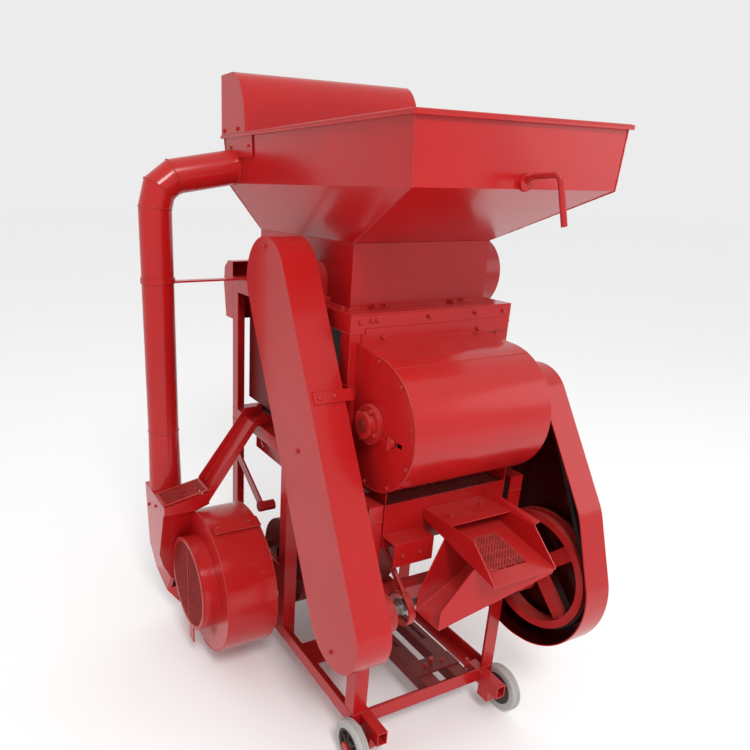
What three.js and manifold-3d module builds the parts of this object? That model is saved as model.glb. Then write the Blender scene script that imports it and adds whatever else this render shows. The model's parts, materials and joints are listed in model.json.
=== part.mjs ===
// Peanut sheller: a red sheet-metal machine on an angle-iron stand with four wheels.
// Nuts go into the hopper, pass the shelling drum, fall on a shaken deck, and leave by the
// front chute. What isn't shelled slides to a lift fan, which blows it back up the round pipe.
// Millimetres. X runs to the right, Y to the back, Z up. Y is 0 at the upper frame's front.

import * as THREE from 'three';
import { mergeVertices } from 'three/addons/utils/BufferGeometryUtils.js';
import Module from 'manifold-3d';

const wasm = await Module();
wasm.setup();

// Fits that the pieces share
const seat = 0.3;
const running = 0.4;
const overrun = 5;
const weld = 1;
const snug = 0.1;
const flatness = 0.01;
const roundness = 1.5;
const fewestSides = 8;
const mostSides = 24;
const sheet = 2;
const wholeTurn = 360;
const strapThickness = 4;

// Angle-iron stand and the frame on it
const frameWidth = 470;
const frameDepth = 677;
const noseDepth = 121;
const angleLeg = 40;
const angleThickness = 4;
const baseLift = 85;
const tableHeight = 720;
const frameHeight = 1135;
const middlePostY = 277;
const crossBeamDrop = 245;

const frameSide = frameWidth / 2;
const innerSide = frameSide - angleLeg;
const tableTop = tableHeight;
const frontY = -noseDepth;

// Wheels on square stubs
const wheelRadius = 65;
const wheelWidth = 28;
const tyreDepth = 20;
const wheelAxleRadius = 8;
const hubBulge = 5;
const stubSize = 38;
const stubWidth = 30;
const stubInset = 24;
const stubWall = 3;
const stubReach = 78;
const lugThickness = 6;
const wheelSetback = 49;
const headSides = 6;
const headSpread = 5.6;

// Slotted rails across the base for the motor
const railWidth = 46;
const railHeight = 38;
const railWall = 4;
const railLeftX = 30;
const railRightX = 128;
const railSlotWidth = 11;
const railSlotShare = 0.24;
const railPlateDepth = 54;
const basePlateFrontY = 128;
const basePlateBackY = 224;

// Shafts and pillow blocks
const shaftRadius = 15;
const shaftSides = 16;
const blockRadius = 46;
const blockWidth = 34;
const blockFootLength = 126;
const blockFootHeight = 14;
const drumShaftY = 213;
const drumShaftRise = 50;
const jackShaftAhead = 50;
const jackShaftZ = 465;
const jackShaftY = frontY - jackShaftAhead;

// Shelling drum with its bars, and the half-round grid under it
const drumRadius = 92;
const drumDiscThickness = 8;
const drumBarCount = 8;
const drumBarSize = 18;
const drumHubRadius = 26;
const concaveGap = 11;
const concaveThickness = 5;
const concaveSlotCount = 7;
const concaveSlotWidth = 22;

// Neck over the drum, plate on the frame, casing inside the frame
const topPlateThickness = 3;
const neckSideRoom = 36;
const neckHalfWidth = frameSide - neckSideRoom;
const neckFrontY = 63;
const neckBackRoom = 124;
const neckBackY = frameDepth - neckBackRoom;
const neckHeight = 147;
const neckWall = 3;
const casingBackY = frameDepth - angleLeg - seat;
const casingClear = 16;

// Hopper and the hood at its back
const rimHalfWidth = 270;
const beltHalfWidth = 263;
const hopperFrontY = -212;
const hopperBackRoom = 23;
const hopperBackY = frameDepth - hopperBackRoom;
const hopperBackStep = 16;
const hopperBackLowY = hopperBackY - hopperBackStep;
const slopeRise = 120;
const wallRise = 127;
const rimLip = 8;
const rimLipHeight = 9;
const hoodRise = 150;
const hoodFlat = 76;
const hoodRun = 86;

// Sliding feed gate and its bent pull rod
const gateRodRadius = 6;
const gateRodX = 3;
const gateRodStraight = 25;
const gateRodOut = 85;
const gateHandleDrop = 92;
const gateHandleLean = 24;
const gateWidth = 360;
const gateLength = 200;
const gateThickness = 3;
const gatePastNeck = 50;
const bossRadius = 17;
const bossLength = 9;

// Winnowing blower on the front of the frame
const blowerY = -78;
const blowerDrop = 228;
const blowerZ = frameHeight - blowerDrop;
const blowerRadius = 155;
const blowerLeftRoom = 21;
const blowerRightRoom = 69;
const blowerLeftX = blowerLeftRoom - frameSide;
const blowerRightX = frameSide - blowerRightRoom;
const blowerMouthRise = 168;
const blowerSheet = 3;
const scrollSteps = 18;
const scrollShare = 1.15;
const mouthFloorShare = 0.9;
const bladeCount = 4;
const bladeThickness = 3;
const bladeGap = 26;
const bladeTipGap = 14;
const rotorHubRadius = 24;
const flangeDisc = 46;
const flangeDiscWidth = 26;
const inletRadius = 74;
const damperThickness = 3;
const damperTravel = 30;
const damperShare = 0.72;
const damperSides = 12;

// Belt guards, pulleys and belts
const leftGuardDepth = 90;
const leftGuardStandOff = 22;
const guardStrap = 24;
const guardLug = 10;
const guardLugReach = 78;
const leftGuardRadius = 104;
const rightGuardDepth = 76;
const rightGuardStandOff = 15;
const guardWall = 3;
const guardTopBack = 36;
const guardTopDrop = 17;
const guardTopClear = 50;
const guardFootBack = 16;
const guardFootDrop = 10;
const guardFootClear = 42;
const guardBulge = 13;
const bulgeShare = 0.32;
const beltWidth = 17;
const beltDepth = 11;
const grooveDepth = 8;
const pulleyWidth = 42;
const drumPulleyRadius = 80;
const jackSmallRadius = 62;
const bigPulleyRadius = 158;
const bigRimDepth = 20;
const bigHubRadius = 34;
const spokeCount = 4;
const spokeWidth = 38;
const spokeThickness = 14;
const blowerPulleyRadius = 48;

// Shaken deck on four hangers, its screen and its two chutes
const deckSideRoom = 11;
const deckHalfWidth = innerSide - deckSideRoom;
const deckBackRoom = 77;
const deckBackY = frameDepth - deckBackRoom;
const deckRise = 24;
const deckHeight = 146;
const deckSheet = 3;
const deckTravel = 5;
const deckFrontDrop = 32;
const screenDrop = 10;
const screenFrontDrop = 40;
const screenBend = 10;
const screenSlotRows = 10;
const screenSlotShare = 0.42;
const screenSideSlotShares = [0.04, 0.94];
const shelfDepth = 49;
const shelfDrop = 79;
const shelfLip = 60;
const hangerLength = 60;
const hangerWidth = 26;
const hangerThickness = 6;
const hangerFrontY = -38;
const hangerRearRoom = 157;
const hangerRearY = frameDepth - hangerRearRoom;
const hangerPinShare = 0.28;
const pinRadius = 7;
const pinSides = 12;
const hangerPlay = 0.6;
const eccentricRadius = 21;
const eccentricThrow = 5;
const eccentricWidth = 18;
const rodRim = 5;
const rodPlay = 6;
const rodWidth = 24;

const chuteLeftX = -70;
const chuteRightX = 112;
const chuteReach = 247;
const chuteWallRise = 86;
const chuteKneeShare = 0.7;
const chuteTipRise = 14;
const chuteFloorRise = 50;
const chuteCoverDepth = 98;
const sieveBackShare = 0.42;
const sieveFrontShare = 0.84;
const sieveCellCount = 4;
const sieveBarWidth = 5;
const sieveRightRoom = 46;
const spoutReach = 62;
const spoutDrop = 136;
const spoutWallHeight = 50;
const spoutNarrowFront = 78;
const spoutNarrowBack = 9;

// Lift fan on the left, with a smaller fan under the deck on the same shaft
const fanBackRoom = 267;
const fanY = frameDepth - fanBackRoom;
const fanZ = 272;
const fanRadius = 213;
const fanSideRoom = 62;
const fanWidth = 151;
const fanRightX = -frameSide - fanSideRoom;
const fanLeftX = fanRightX - fanWidth;
const fanSheet = 3;
const fanOutlet = 97;
const fanOutletReach = 180;
const fanInletRadius = 134;
const fanCollarLength = 42;
const fanBladeCount = 6;
const fanBladeGap = 22;
const grilleBarCount = 6;
const grilleBarWidth = 6;
const innerFanRadius = 136;
const innerFanHalfLength = 172;
const innerMouthHeight = 172;
const innerMouthShare = 0.2;
const innerEarShare = 0.9;

// Lift duct, pipe, and the chute that feeds them
const ductSheet = 2.5;
const ductTopRise = 21;
const ductTopZ = fanZ + fanRadius + ductTopRise;
const ductBackRoom = 9;
const ductBackY = frameDepth - ductBackRoom;
const ductLeftShift = 93;
const ductTopWidth = 100;
const ductLeftX = fanLeftX - ductLeftShift;
const ductRightX = ductLeftX + ductTopWidth;
const inletReach = 41;
const inletRightX = ductRightX + inletReach;
const inletRise = 27;
const inletFrontRoom = 211;
const inletDepth = 95;
const inletFrontY = frameDepth - inletFrontRoom;
const inletBackY = inletFrontY + inletDepth;

// Bends of the duct: outer and inner edges behind and above the fan's shaft, as shares of its
// radius, and sides as shares of the way from the fan's own sides to the duct's top
const outerBackShares = [1.127, 1.211, 1.202];
const outerUpShares = [-0.808, -0.408, 0.085];
const innerBackShares = [0.892, 0.845, 0.685];
const innerUpShares = [-0.432, -0.174, 0.131];
const leftShares = [0.452, 0.731, 0.946];
const rightShares = [0.368, 0.681, 0.924];
const pipeRadius = 46;
const pipeWall = 2.5;
const pipeSides = 16;
const pipeFootRadius = 50;
const pipeX = (ductLeftX + ductRightX) / 2;
const pipeBackRoom = 65;
const pipeY = frameDepth - pipeBackRoom;
const pipeFlare = 189;
const armAboveBelt = 45;
const armDrop = 111;
const armForward = 20;
const armY = pipeY - armForward;
const elbowShares = [0.3, 1.1, 1.2, 0.65];
const strapWidth = 30;
const meshWireWidth = 3;
const meshWireThickness = 2;
const meshCellCount = 5;
const returnWallHeight = 30;
const returnFootHeight = 45;
const returnLip = 8;
const braceLowRoom = 236;
const braceLowY = frameDepth - braceLowRoom;
const braceLowDrop = 257;
const braceLowZ = tableTop - braceLowDrop;
const braceHighRoom = 13;
const braceHighY = frameDepth - braceHighRoom;
const braceHighDrop = 130;
const braceHighZ = tableTop - braceHighDrop;
const braceBossRadius = 16.5;
const braceBossReach = 12;
const rearCoverDepth = 72;
const rearCoverRise = 48;
const rearCoverDrop = 128;
const rearLowShare = 0.75;
const rearKneeShare = 0.2;
const rearBrowShares = [0.9, 0.55];
const rearTopShare = 0.5;

// Paint and other finishes
const red = { color: 0xc8201f, roughness: 0.28, metalness: 0.05 };
const innerRed = { color: 0x7e1616, roughness: 0.45, metalness: 0.05 };
const castRed = { color: 0xb51d1d, roughness: 0.42, metalness: 0.1 };
const steel = { color: 0x8f8c88, roughness: 0.35, metalness: 0.9 };
const darkSteel = { color: 0x3a3634, roughness: 0.5, metalness: 0.7 };
const rubber = { color: 0x1c1b1c, roughness: 0.75, metalness: 0 };
const greyTyre = { color: 0xb9b9b7, roughness: 0.7, metalness: 0 };

const group = new THREE.Group();
group.name = 'peanut_sheller';

// A closed solid from a geometry
function solid(geometry) {
  const plain = geometry.index ? geometry.toNonIndexed() : geometry.clone();
  plain.deleteAttribute('normal');
  plain.deleteAttribute('uv');
  const merged = mergeVertices(plain, 1e-4);
  const mesh = new wasm.Mesh({
    numProp: 3,
    vertProperties: new Float32Array(merged.attributes.position.array),
    triVerts: new Uint32Array(merged.index.array),
  });
  return new wasm.Manifold(mesh);
}

function box(x0, x1, y0, y1, z0, z1) {
  const geometry = new THREE.BoxGeometry(Math.abs(x1 - x0), Math.abs(y1 - y0), Math.abs(z1 - z0));
  geometry.translate((x0 + x1) / 2, (y0 + y1) / 2, (z0 + z1) / 2);
  return solid(geometry);
}

// Sides that keep a round piece round: few on a small one, more on a large one
function sidesOf(radius) {
  const wanted = Math.PI / Math.acos(1 - roundness / radius);
  return Math.min(Math.max(2 * Math.round(wanted / 2), fewestSides), mostSides);
}

// Round bar along X, about the line through y and z
function barX(radius, x0, x1, y, z, sides = sidesOf(radius)) {
  const geometry = new THREE.CylinderGeometry(radius, radius, Math.abs(x1 - x0), sides);
  geometry.rotateZ(Math.PI / 2);
  geometry.translate((x0 + x1) / 2, y, z);
  return solid(geometry);
}

// Shaft or its bore: enough sides to turn freely
const shaftX = (radius, x0, x1, y, z) => barX(radius, x0, x1, y, z, shaftSides);

function barY(radius, y0, y1, x, z, sides = sidesOf(radius)) {
  const geometry = new THREE.CylinderGeometry(radius, radius, Math.abs(y1 - y0), sides);
  geometry.translate(x, (y0 + y1) / 2, z);
  return solid(geometry);
}

function barZ(radius, z0, z1, x, y, sides = sidesOf(radius)) {
  const geometry = new THREE.CylinderGeometry(radius, radius, Math.abs(z1 - z0), sides);
  geometry.rotateX(Math.PI / 2);
  geometry.translate(x, y, (z0 + z1) / 2);
  return solid(geometry);
}

// Round bar between any two points
function barBetween(radius, from, to, sides = sidesOf(radius)) {
  const start = new THREE.Vector3(...from);
  const end = new THREE.Vector3(...to);
  const along = end.clone().sub(start);
  const geometry = new THREE.CylinderGeometry(radius, radius, along.length(), sides);
  geometry.applyQuaternion(new THREE.Quaternion().setFromUnitVectors(
    new THREE.Vector3(0, 1, 0), along.clone().normalize()));
  geometry.translate(...start.add(end).multiplyScalar(1 / 2).toArray());
  return solid(geometry);
}

// Outline given as [y, z] pairs, pushed from x0 to x1
function plateX(outline, x0, x1) {
  const shape = new THREE.Shape(outline.map(([y, z]) => new THREE.Vector2(y, z)));
  const geometry = new THREE.ExtrudeGeometry(shape, { depth: x1 - x0, bevelEnabled: false });
  geometry.applyMatrix4(new THREE.Matrix4().makeBasis(
    new THREE.Vector3(0, 1, 0), new THREE.Vector3(0, 0, 1), new THREE.Vector3(1, 0, 0)));
  geometry.translate(x0, 0, 0);
  return solid(geometry);
}

// Outline given as [x, z] pairs, pushed from y0 to y1
function plateY(outline, y0, y1) {
  const shape = new THREE.Shape(outline.map(([x, z]) => new THREE.Vector2(x, z)));
  const geometry = new THREE.ExtrudeGeometry(shape, { depth: y1 - y0, bevelEnabled: false });
  geometry.rotateX(Math.PI / 2);
  geometry.translate(0, y1, 0);
  return solid(geometry);
}

// Faces that close an end ring: a fan for a convex ring, another set for the outline of a channel
const fanCap = (count) => Array.from({ length: count - 2 }, (_, i) => [0, i + 1, i + 2]);
const channelCap = [[0, 1, 6], [0, 6, 7], [1, 2, 5], [1, 5, 6], [2, 3, 4], [2, 4, 5]];

// Skin over rings that have the same number of points each, closed at both ends
function loft(rings, cap = fanCap(rings[0].length)) {
  const count = rings[0].length;
  const points = rings.flat();
  const faces = [];
  for (let r = 0; r + 1 < rings.length; r += 1) {
    for (let i = 0; i < count; i += 1) {
      const j = (i + 1) % count;
      const a = r * count + i;
      const b = r * count + j;
      faces.push([a, b, b + count], [a, b + count, a + count]);
    }
  }
  const last = (rings.length - 1) * count;
  for (const [a, b, c] of cap) {
    faces.push([a, c, b], [last + a, last + b, last + c]);
  }
  const skin = (list) => {
    const geometry = new THREE.BufferGeometry();
    const corners = list.flat().flatMap((index) => points[index]);
    geometry.setAttribute('position', new THREE.Float32BufferAttribute(corners, 3));
    return solid(geometry);
  };
  const made = skin(faces);
  return made.volume() > 0 ? made : skin(faces.map(([a, b, c]) => [a, c, b]));
}

function union(parts) {
  return parts.reduce((sum, part) => sum.add(part));
}

function cut(body, tools) {
  return tools.reduce((left, tool) => left.subtract(tool), body);
}

// Smallest convex outline round a set of discs given as [y, z, radius]
function outlineRound(discs, sides = mostSides) {
  const points = discs.flatMap(([y, z, radius]) => Array.from({ length: sides }, (_, i) => {
    const turn = (2 * Math.PI * i) / sides;
    return [y + radius * Math.cos(turn), z + radius * Math.sin(turn)];
  }));
  points.sort((a, b) => a[0] - b[0] || a[1] - b[1]);
  const turnOf = (o, a, b) => (a[0] - o[0]) * (b[1] - o[1]) - (a[1] - o[1]) * (b[0] - o[0]);
  const half = (list) => {
    const chain = [];
    for (const point of list) {
      while (chain.length > 1 && turnOf(chain.at(-2), chain.at(-1), point) <= 1e-9) {
        chain.pop();
      }
      chain.push(point);
    }
    chain.pop();
    return chain;
  };
  return [...half(points), ...half([...points].reverse())];
}

const mixed = (a, b, share) => a + (b - a) * share;
const grow = (discs, more) => discs.map(([y, z, radius]) => [y, z, radius + more]);

function add(name, manifold, finish) {
  const data = manifold.asOriginal().simplify(flatness).getMesh();
  const geometry = new THREE.BufferGeometry();
  geometry.setAttribute('position', new THREE.Float32BufferAttribute(data.vertProperties, 3));
  geometry.setIndex(new THREE.BufferAttribute(new Uint32Array(data.triVerts), 1));
  const flat = geometry.toNonIndexed();
  flat.computeVertexNormals();
  const mesh = new THREE.Mesh(flat, new THREE.MeshStandardMaterial(finish));
  mesh.name = name;
  group.add(mesh);
  return mesh;
}

const sides = [['left', -1], ['right', 1]];

// Angle iron with its corner at x and y and its legs turned inwards
function anglePost(x, y, inX, inY, z0, z1) {
  return union([
    box(x, x + inX * angleLeg, y, y + inY * angleThickness, z0, z1),
    box(x, x + inX * angleThickness, y, y + inY * angleLeg, z0, z1),
  ]);
}

// Angle iron along Y with its upright leg outside and its flat leg on top or below
function angleAlongY(side, y0, y1, top, flatOnTop = true) {
  const x = side * frameSide;
  const flatZ = flatOnTop ? top - angleThickness : top - angleLeg;
  return union([
    box(x, x - side * angleThickness, y0, y1, top - angleLeg, top),
    box(x, x - side * angleLeg, y0, y1, flatZ, flatZ + angleThickness),
  ]);
}

function angleAlongX(y, inY, top, flatOnTop = true) {
  const flatZ = flatOnTop ? top - angleThickness : top - angleLeg;
  return union([
    box(-frameSide, frameSide, y, y + inY * angleThickness, top - angleLeg, top),
    box(-frameSide, frameSide, y, y + inY * angleLeg, flatZ, flatZ + angleThickness),
  ]);
}

// Stand: base, posts, table beams, beam behind the jackshaft and the stubs for the wheels
const baseTop = baseLift + angleLeg;
const crossBeamTop = tableTop - crossBeamDrop;
const stubX = frameSide - stubInset - stubWidth / 2;
const standPieces = [
  angleAlongX(frontY, 1, baseTop, false),
  angleAlongX(frameDepth, -1, baseTop, false),
  angleAlongX(frameDepth, -1, tableTop),
  angleAlongX(frontY, 1, crossBeamTop),
];
for (const [, side] of sides) {
  standPieces.push(angleAlongY(side, frontY, frameDepth, baseTop, false));
  standPieces.push(angleAlongY(side, frontY, frameDepth, tableTop));
  standPieces.push(anglePost(side * frameSide, frontY, -side, 1, baseLift, tableTop));
  standPieces.push(anglePost(side * frameSide, frameDepth, -side, -1, baseLift, tableTop));
  standPieces.push(anglePost(side * frameSide, middlePostY, -side, 1, baseLift, tableTop));
  for (const [endY, out] of [[frontY, -1], [frameDepth, 1]]) {
    const x = side * stubX;
    const z = baseLift + stubSize / 2;
    const wide = stubWidth / 2 - stubWall;
    const high = stubSize / 2 - stubWall;
    const start = endY - out * angleLeg;
    const tip = endY + out * stubReach;
    const tube = box(x - stubWidth / 2, x + stubWidth / 2, start, tip, baseLift, baseLift + stubSize);
    const hollow = box(x - wide, x + wide, endY + out * stubWall, tip + out * overrun, z - high, z + high);
    standPieces.push(cut(tube, [hollow]));
  }
}

// Wheel places: one by each stub, on its outer side
const wheelZ = wheelRadius;
const wheelInX = frameSide + running * 2;
const wheelPlaces = [];
for (const [sideName, side] of sides) {
  for (const [endName, endY, out] of [['front', frontY, -1], ['rear', frameDepth, 1]]) {
    wheelPlaces.push({ name: `${endName}_${sideName}`, side, y: endY + out * (stubReach - wheelSetback) });
  }
}

// A lug under each stub carries the wheel's axle, which ends in a six-sided head
const headRadius = wheelAxleRadius + headSpread;
const headIn = wheelInX + wheelWidth + hubBulge + seat;
const headOut = headIn + lugThickness;
for (const { side, y } of wheelPlaces) {
  const x = side * stubX;
  standPieces.push(box(x - stubWidth / 2, x + stubWidth / 2, y - stubSize / 2, y + stubSize / 2,
    wheelZ - wheelAxleRadius - lugThickness, baseLift + stubWall));
  standPieces.push(barX(wheelAxleRadius, x, side * headOut, y, wheelZ, pinSides));
  standPieces.push(barX(headRadius, side * headIn, side * headOut, y, wheelZ, headSides));
}

// Plate across the base's left side, under the left motor rail
standPieces.push(box(-frameSide, railLeftX + railWidth / 2, basePlateFrontY, basePlateBackY, baseLift,
  baseLift + angleThickness));

// Plates between the middle and rear posts carry the fan shaft
const fanPlateFace = frameSide - angleThickness - strapThickness;
for (const [, side] of sides) {
  const plate = box(side * (frameSide - angleThickness / 2), side * fanPlateFace, middlePostY, frameDepth,
    fanZ - blockRadius, fanZ + blockRadius);
  const boreIn = side * (fanPlateFace - overrun);
  const boreOut = side * (frameSide + overrun);
  standPieces.push(cut(plate, [shaftX(shaftRadius + running * 2, boreIn, boreOut, fanY, fanZ)]));
}

// Pins under the table beams for the deck's hangers
const deckTop = tableTop + deckRise;
const deckBottom = deckTop - deckHeight;
const lowPinZ = deckBottom + deckHeight * hangerPinShare;
const highPinZ = lowPinZ + hangerLength;
const hangerX = deckHalfWidth + hangerThickness;
const hangerIn = hangerX + hangerThickness / 2;
const hangerOut = hangerX + (hangerThickness * 3) / 2;
for (const [, side] of sides) {
  const pinEnd = side * (frameSide - angleThickness / 2);
  for (const y of [hangerFrontY, hangerRearY]) {
    standPieces.push(barX(pinRadius, side * hangerX, pinEnd, y, highPinZ, pinSides));
    standPieces.push(barX(pinRadius + strapThickness, side * (hangerOut + running * 2), pinEnd, y, highPinZ));
  }
}

// Flat bar with a boss on the stand's left side
const braceX = -frameSide;
const braceDiscs = [[braceLowY, braceLowZ, braceBossRadius], [braceHighY, braceHighZ, strapWidth / 2]];
standPieces.push(plateX(outlineRound(braceDiscs, fewestSides * 2), braceX - strapThickness,
  braceX + angleThickness / 2));
standPieces.push(barX(braceBossRadius, braceX - braceBossReach, braceX + angleLeg, braceLowY, braceLowZ));
add('stand', union(standPieces), red);

const hubRadius = wheelRadius - tyreDepth;
for (const place of wheelPlaces) {
  const inner = place.side * wheelInX;
  const outer = place.side * (wheelInX + wheelWidth);
  const throughIn = place.side * (wheelInX - overrun);
  const throughOut = place.side * (headIn + overrun);
  add(`tyre_${place.name}`, cut(barX(wheelRadius, inner, outer, place.y, wheelZ), [
    barX(hubRadius, throughIn, throughOut, place.y, wheelZ),
  ]), greyTyre);
  const hubOut = place.side * (wheelInX + wheelWidth + hubBulge);
  const hub = union([
    barX(hubRadius - seat, inner, outer, place.y, wheelZ),
    barX(wheelAxleRadius * 2, inner, hubOut, place.y, wheelZ),
  ]);
  add(`hub_${place.name}`, cut(hub, [
    barX(wheelAxleRadius + running, throughIn, throughOut, place.y, wheelZ, pinSides),
  ]), castRed);
}

// Motor rails: channels along Y, open below, each with long slots in its top
const railBottom = baseLift + angleThickness + seat;
const railFrontY = frontY + angleThickness + seat;
const railBackY = frameDepth - angleThickness - seat;
const railTop = railBottom + railHeight;
function motorRail(x) {
  const outer = box(x - railWidth / 2, x + railWidth / 2, railFrontY, railBackY, railBottom, railTop);
  const hollow = box(x - railWidth / 2 + railWall, x + railWidth / 2 - railWall, railFrontY - overrun,
    railBackY + overrun, railBottom - overrun, railTop - railWall);
  const length = railBackY - railFrontY;
  const slots = [1, 2].map((k) => {
    const middle = railFrontY + (length * k) / 3;
    const reach = (length * railSlotShare) / 2;
    return box(x - railSlotWidth / 2, x + railSlotWidth / 2, middle - reach, middle + reach,
      railBottom, railTop + overrun);
  });
  return cut(outer, [hollow, ...slots]);
}
const railPlate = box(railLeftX - railWidth / 2, railRightX + railWidth / 2, railFrontY + stubSize,
  railFrontY + stubSize + railPlateDepth, railTop - railWall / 2, railTop + strapThickness);
add('motor_rails', union([motorRail(railLeftX), motorRail(railRightX), railPlate]), innerRed);

// Upper frame: four posts on the table and beams round their tops
const postBottom = tableTop + seat;
const upperPieces = [angleAlongX(0, 1, frameHeight), angleAlongX(frameDepth, -1, frameHeight)];
for (const [, side] of sides) {
  upperPieces.push(angleAlongY(side, 0, frameDepth, frameHeight));
  upperPieces.push(anglePost(side * frameSide, 0, -side, 1, postBottom, frameHeight));
  upperPieces.push(anglePost(side * frameSide, frameDepth, -side, -1, postBottom, frameHeight));
}
const blowerTopZ = blowerZ + blowerMouthRise;
upperPieces.push(box(-innerSide, innerSide, angleThickness / 2, angleThickness + sheet,
  blowerTopZ - angleLeg / 2, frameHeight - angleThickness / 2));
add('upper_frame', union(upperPieces), red);

// Plate on the frame with an opening under the neck
const plateBottom = frameHeight + seat;
const plateTop = plateBottom + topPlateThickness;
const neckInner = neckHalfWidth - neckWall;
const platePiece = box(-frameSide, frameSide, 0, frameDepth, plateBottom, plateTop);

// Neck: straight duct on the plate, a slope inside it, and a hole each side for the drum shaft
const neckTop = plateTop + neckHeight;
const drumZ = plateTop + drumShaftRise;
const concaveInner = drumRadius + concaveGap;
const concaveOuter = concaveInner + concaveThickness;
const slopeFoot = drumZ + drumBarSize;
const neckHollow = box(-neckInner, neckInner, neckFrontY + neckWall, neckBackY - neckWall,
  plateBottom - overrun, neckTop + overrun);
const plateOpening = box(-innerSide, innerSide, neckFrontY + neckWall, neckBackY - neckWall,
  plateBottom - overrun, plateTop + overrun);
const slopeFootY = drumShaftY + concaveOuter + neckWall;
const slopeBackY = neckBackY - neckWall / 2;
const slopeSide = neckHalfWidth - neckWall / 2;
const rearSlope = plateX([
  [neckBackY - neckWall * 2, neckTop],
  [slopeFootY, slopeFoot],
  [slopeFootY + neckWall, slopeFoot - neckWall],
  [slopeBackY, neckTop - neckWall * 2],
  [slopeBackY, neckTop],
], -slopeSide, slopeSide);
const neckShaftHoles = barX(shaftRadius * 2, -neckHalfWidth - overrun, neckHalfWidth + overrun, drumShaftY,
  drumZ);

// The plate carries a clamp round the lift pipe on a flat bar
const clampOuter = pipeRadius + seat + strapThickness;
const clampTop = plateTop + strapWidth / 2;
const clamp = cut(union([
  barZ(clampOuter, plateTop, clampTop, pipeX, pipeY),
  box(pipeX, -innerSide, pipeY - strapWidth / 2, pipeY + strapWidth / 2, plateTop - sheet / 2,
    plateTop + strapThickness),
]), [barZ(pipeRadius + seat + snug, plateBottom, clampTop + overrun, pipeX, pipeY, pipeSides)]);
const neckWalls = cut(box(-neckHalfWidth, neckHalfWidth, neckFrontY, neckBackY, plateBottom, neckTop), [
  neckHollow,
]);
const neckPieces = [neckWalls, platePiece.subtract(plateOpening), rearSlope, clamp];
add('neck', cut(union(neckPieces), [neckShaftHoles]), red);

// Casing inside the frame, from the plate down to the deck, open to the blower in front
const casingHalf = innerSide - seat;
const casingBottom = deckTop + casingClear;
const casing = cut(box(-casingHalf, casingHalf, angleLeg + seat, casingBackY, casingBottom, frameHeight), [
  box(-casingHalf + sheet, casingHalf - sheet, -overrun, casingBackY - sheet, casingBottom - overrun,
    frameHeight + overrun),
]);
add('drum_casing', casing, innerRed);

// Half-round grid below the drum, slotted round its arc
const gridHalf = casingHalf - sheet - seat;
const concaveRing = cut(barX(concaveOuter, -gridHalf, gridHalf, drumShaftY, drumZ), [
  barX(concaveInner, -gridHalf - overrun, gridHalf + overrun, drumShaftY, drumZ),
  box(-gridHalf - overrun, gridHalf + overrun, drumShaftY - concaveOuter - overrun,
    drumShaftY + concaveOuter + overrun, drumZ - shaftRadius, drumZ + concaveOuter + overrun),
]);
const concaveSlots = Array.from({ length: concaveSlotCount }, (_, i) => {
  const pitch = (2 * gridHalf) / (concaveSlotCount + 1);
  const x = -gridHalf + pitch * (i + 1);
  return box(x - concaveSlotWidth / 2, x + concaveSlotWidth / 2, drumShaftY - concaveOuter,
    drumShaftY + concaveOuter, drumZ - concaveOuter - overrun, drumZ - concaveInner / 2);
});
add('concave_grid', cut(concaveRing, concaveSlots), darkSteel);

// Drum: two discs and bars on a hub tube, on its own shaft
const drumHalf = gridHalf - overrun;
const drumPieces = [barX(drumHubRadius, -drumHalf, drumHalf, drumShaftY, drumZ)];
for (const [, side] of sides) {
  drumPieces.push(barX(drumRadius - drumBarSize / 2, side * drumHalf, side * (drumHalf - drumDiscThickness),
    drumShaftY, drumZ));
}
for (let i = 0; i < drumBarCount; i += 1) {
  const turn = (2 * Math.PI * i) / drumBarCount;
  const reach = drumRadius - drumBarSize / 2;
  drumPieces.push(barX(drumBarSize / 2, -drumHalf, drumHalf, drumShaftY + reach * Math.cos(turn),
    drumZ + reach * Math.sin(turn), headSides));
}
const leftGuardIn = -frameSide - leftGuardStandOff;
const leftGuardOut = leftGuardIn - leftGuardDepth;
const leftPlane = leftGuardOut + guardWall + (leftGuardDepth - guardWall) / 2;
const shaftEnd = pulleyWidth / 2 + seat + overrun;
const coverOut = frameSide + wheelRadius;
drumPieces.push(shaftX(shaftRadius, leftPlane - shaftEnd, coverOut - guardWall - overrun, drumShaftY, drumZ));
add('shelling_drum', union(drumPieces), darkSteel);

// Left guard: a shell round both pulleys, open on the side that faces the frame
const leftDiscs = [[drumShaftY, drumZ, leftGuardRadius], [jackShaftY, jackShaftZ, leftGuardRadius]];
const lugZ = blowerZ + flangeDisc;
const guardLean = (drumShaftY - jackShaftY) / (drumZ - jackShaftZ);
const guardFaceY = jackShaftY + (lugZ - jackShaftZ) * guardLean - leftGuardRadius * Math.hypot(1, guardLean);
const postFace = -frameSide - seat;
const strapTop = lugZ + guardStrap;
const strapTopY = guardFaceY + guardStrap * guardLean;
const leftGuard = cut(union([
  plateX(outlineRound(leftDiscs), leftGuardOut, leftGuardIn),
  plateX([[guardFaceY - strapThickness, lugZ], [guardFaceY + weld, lugZ], [strapTopY + weld, strapTop],
    [strapTopY - strapThickness, strapTop]], leftGuardOut + guardLug, postFace),
  box(postFace - strapThickness, postFace, guardFaceY - strapThickness, angleLeg, lugZ, strapTop),
]), [
  plateX(outlineRound(grow(leftDiscs, -guardWall)), leftGuardOut + guardWall, leftGuardIn + seat),
]);
add('left_belt_guard', leftGuard, red);

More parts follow.
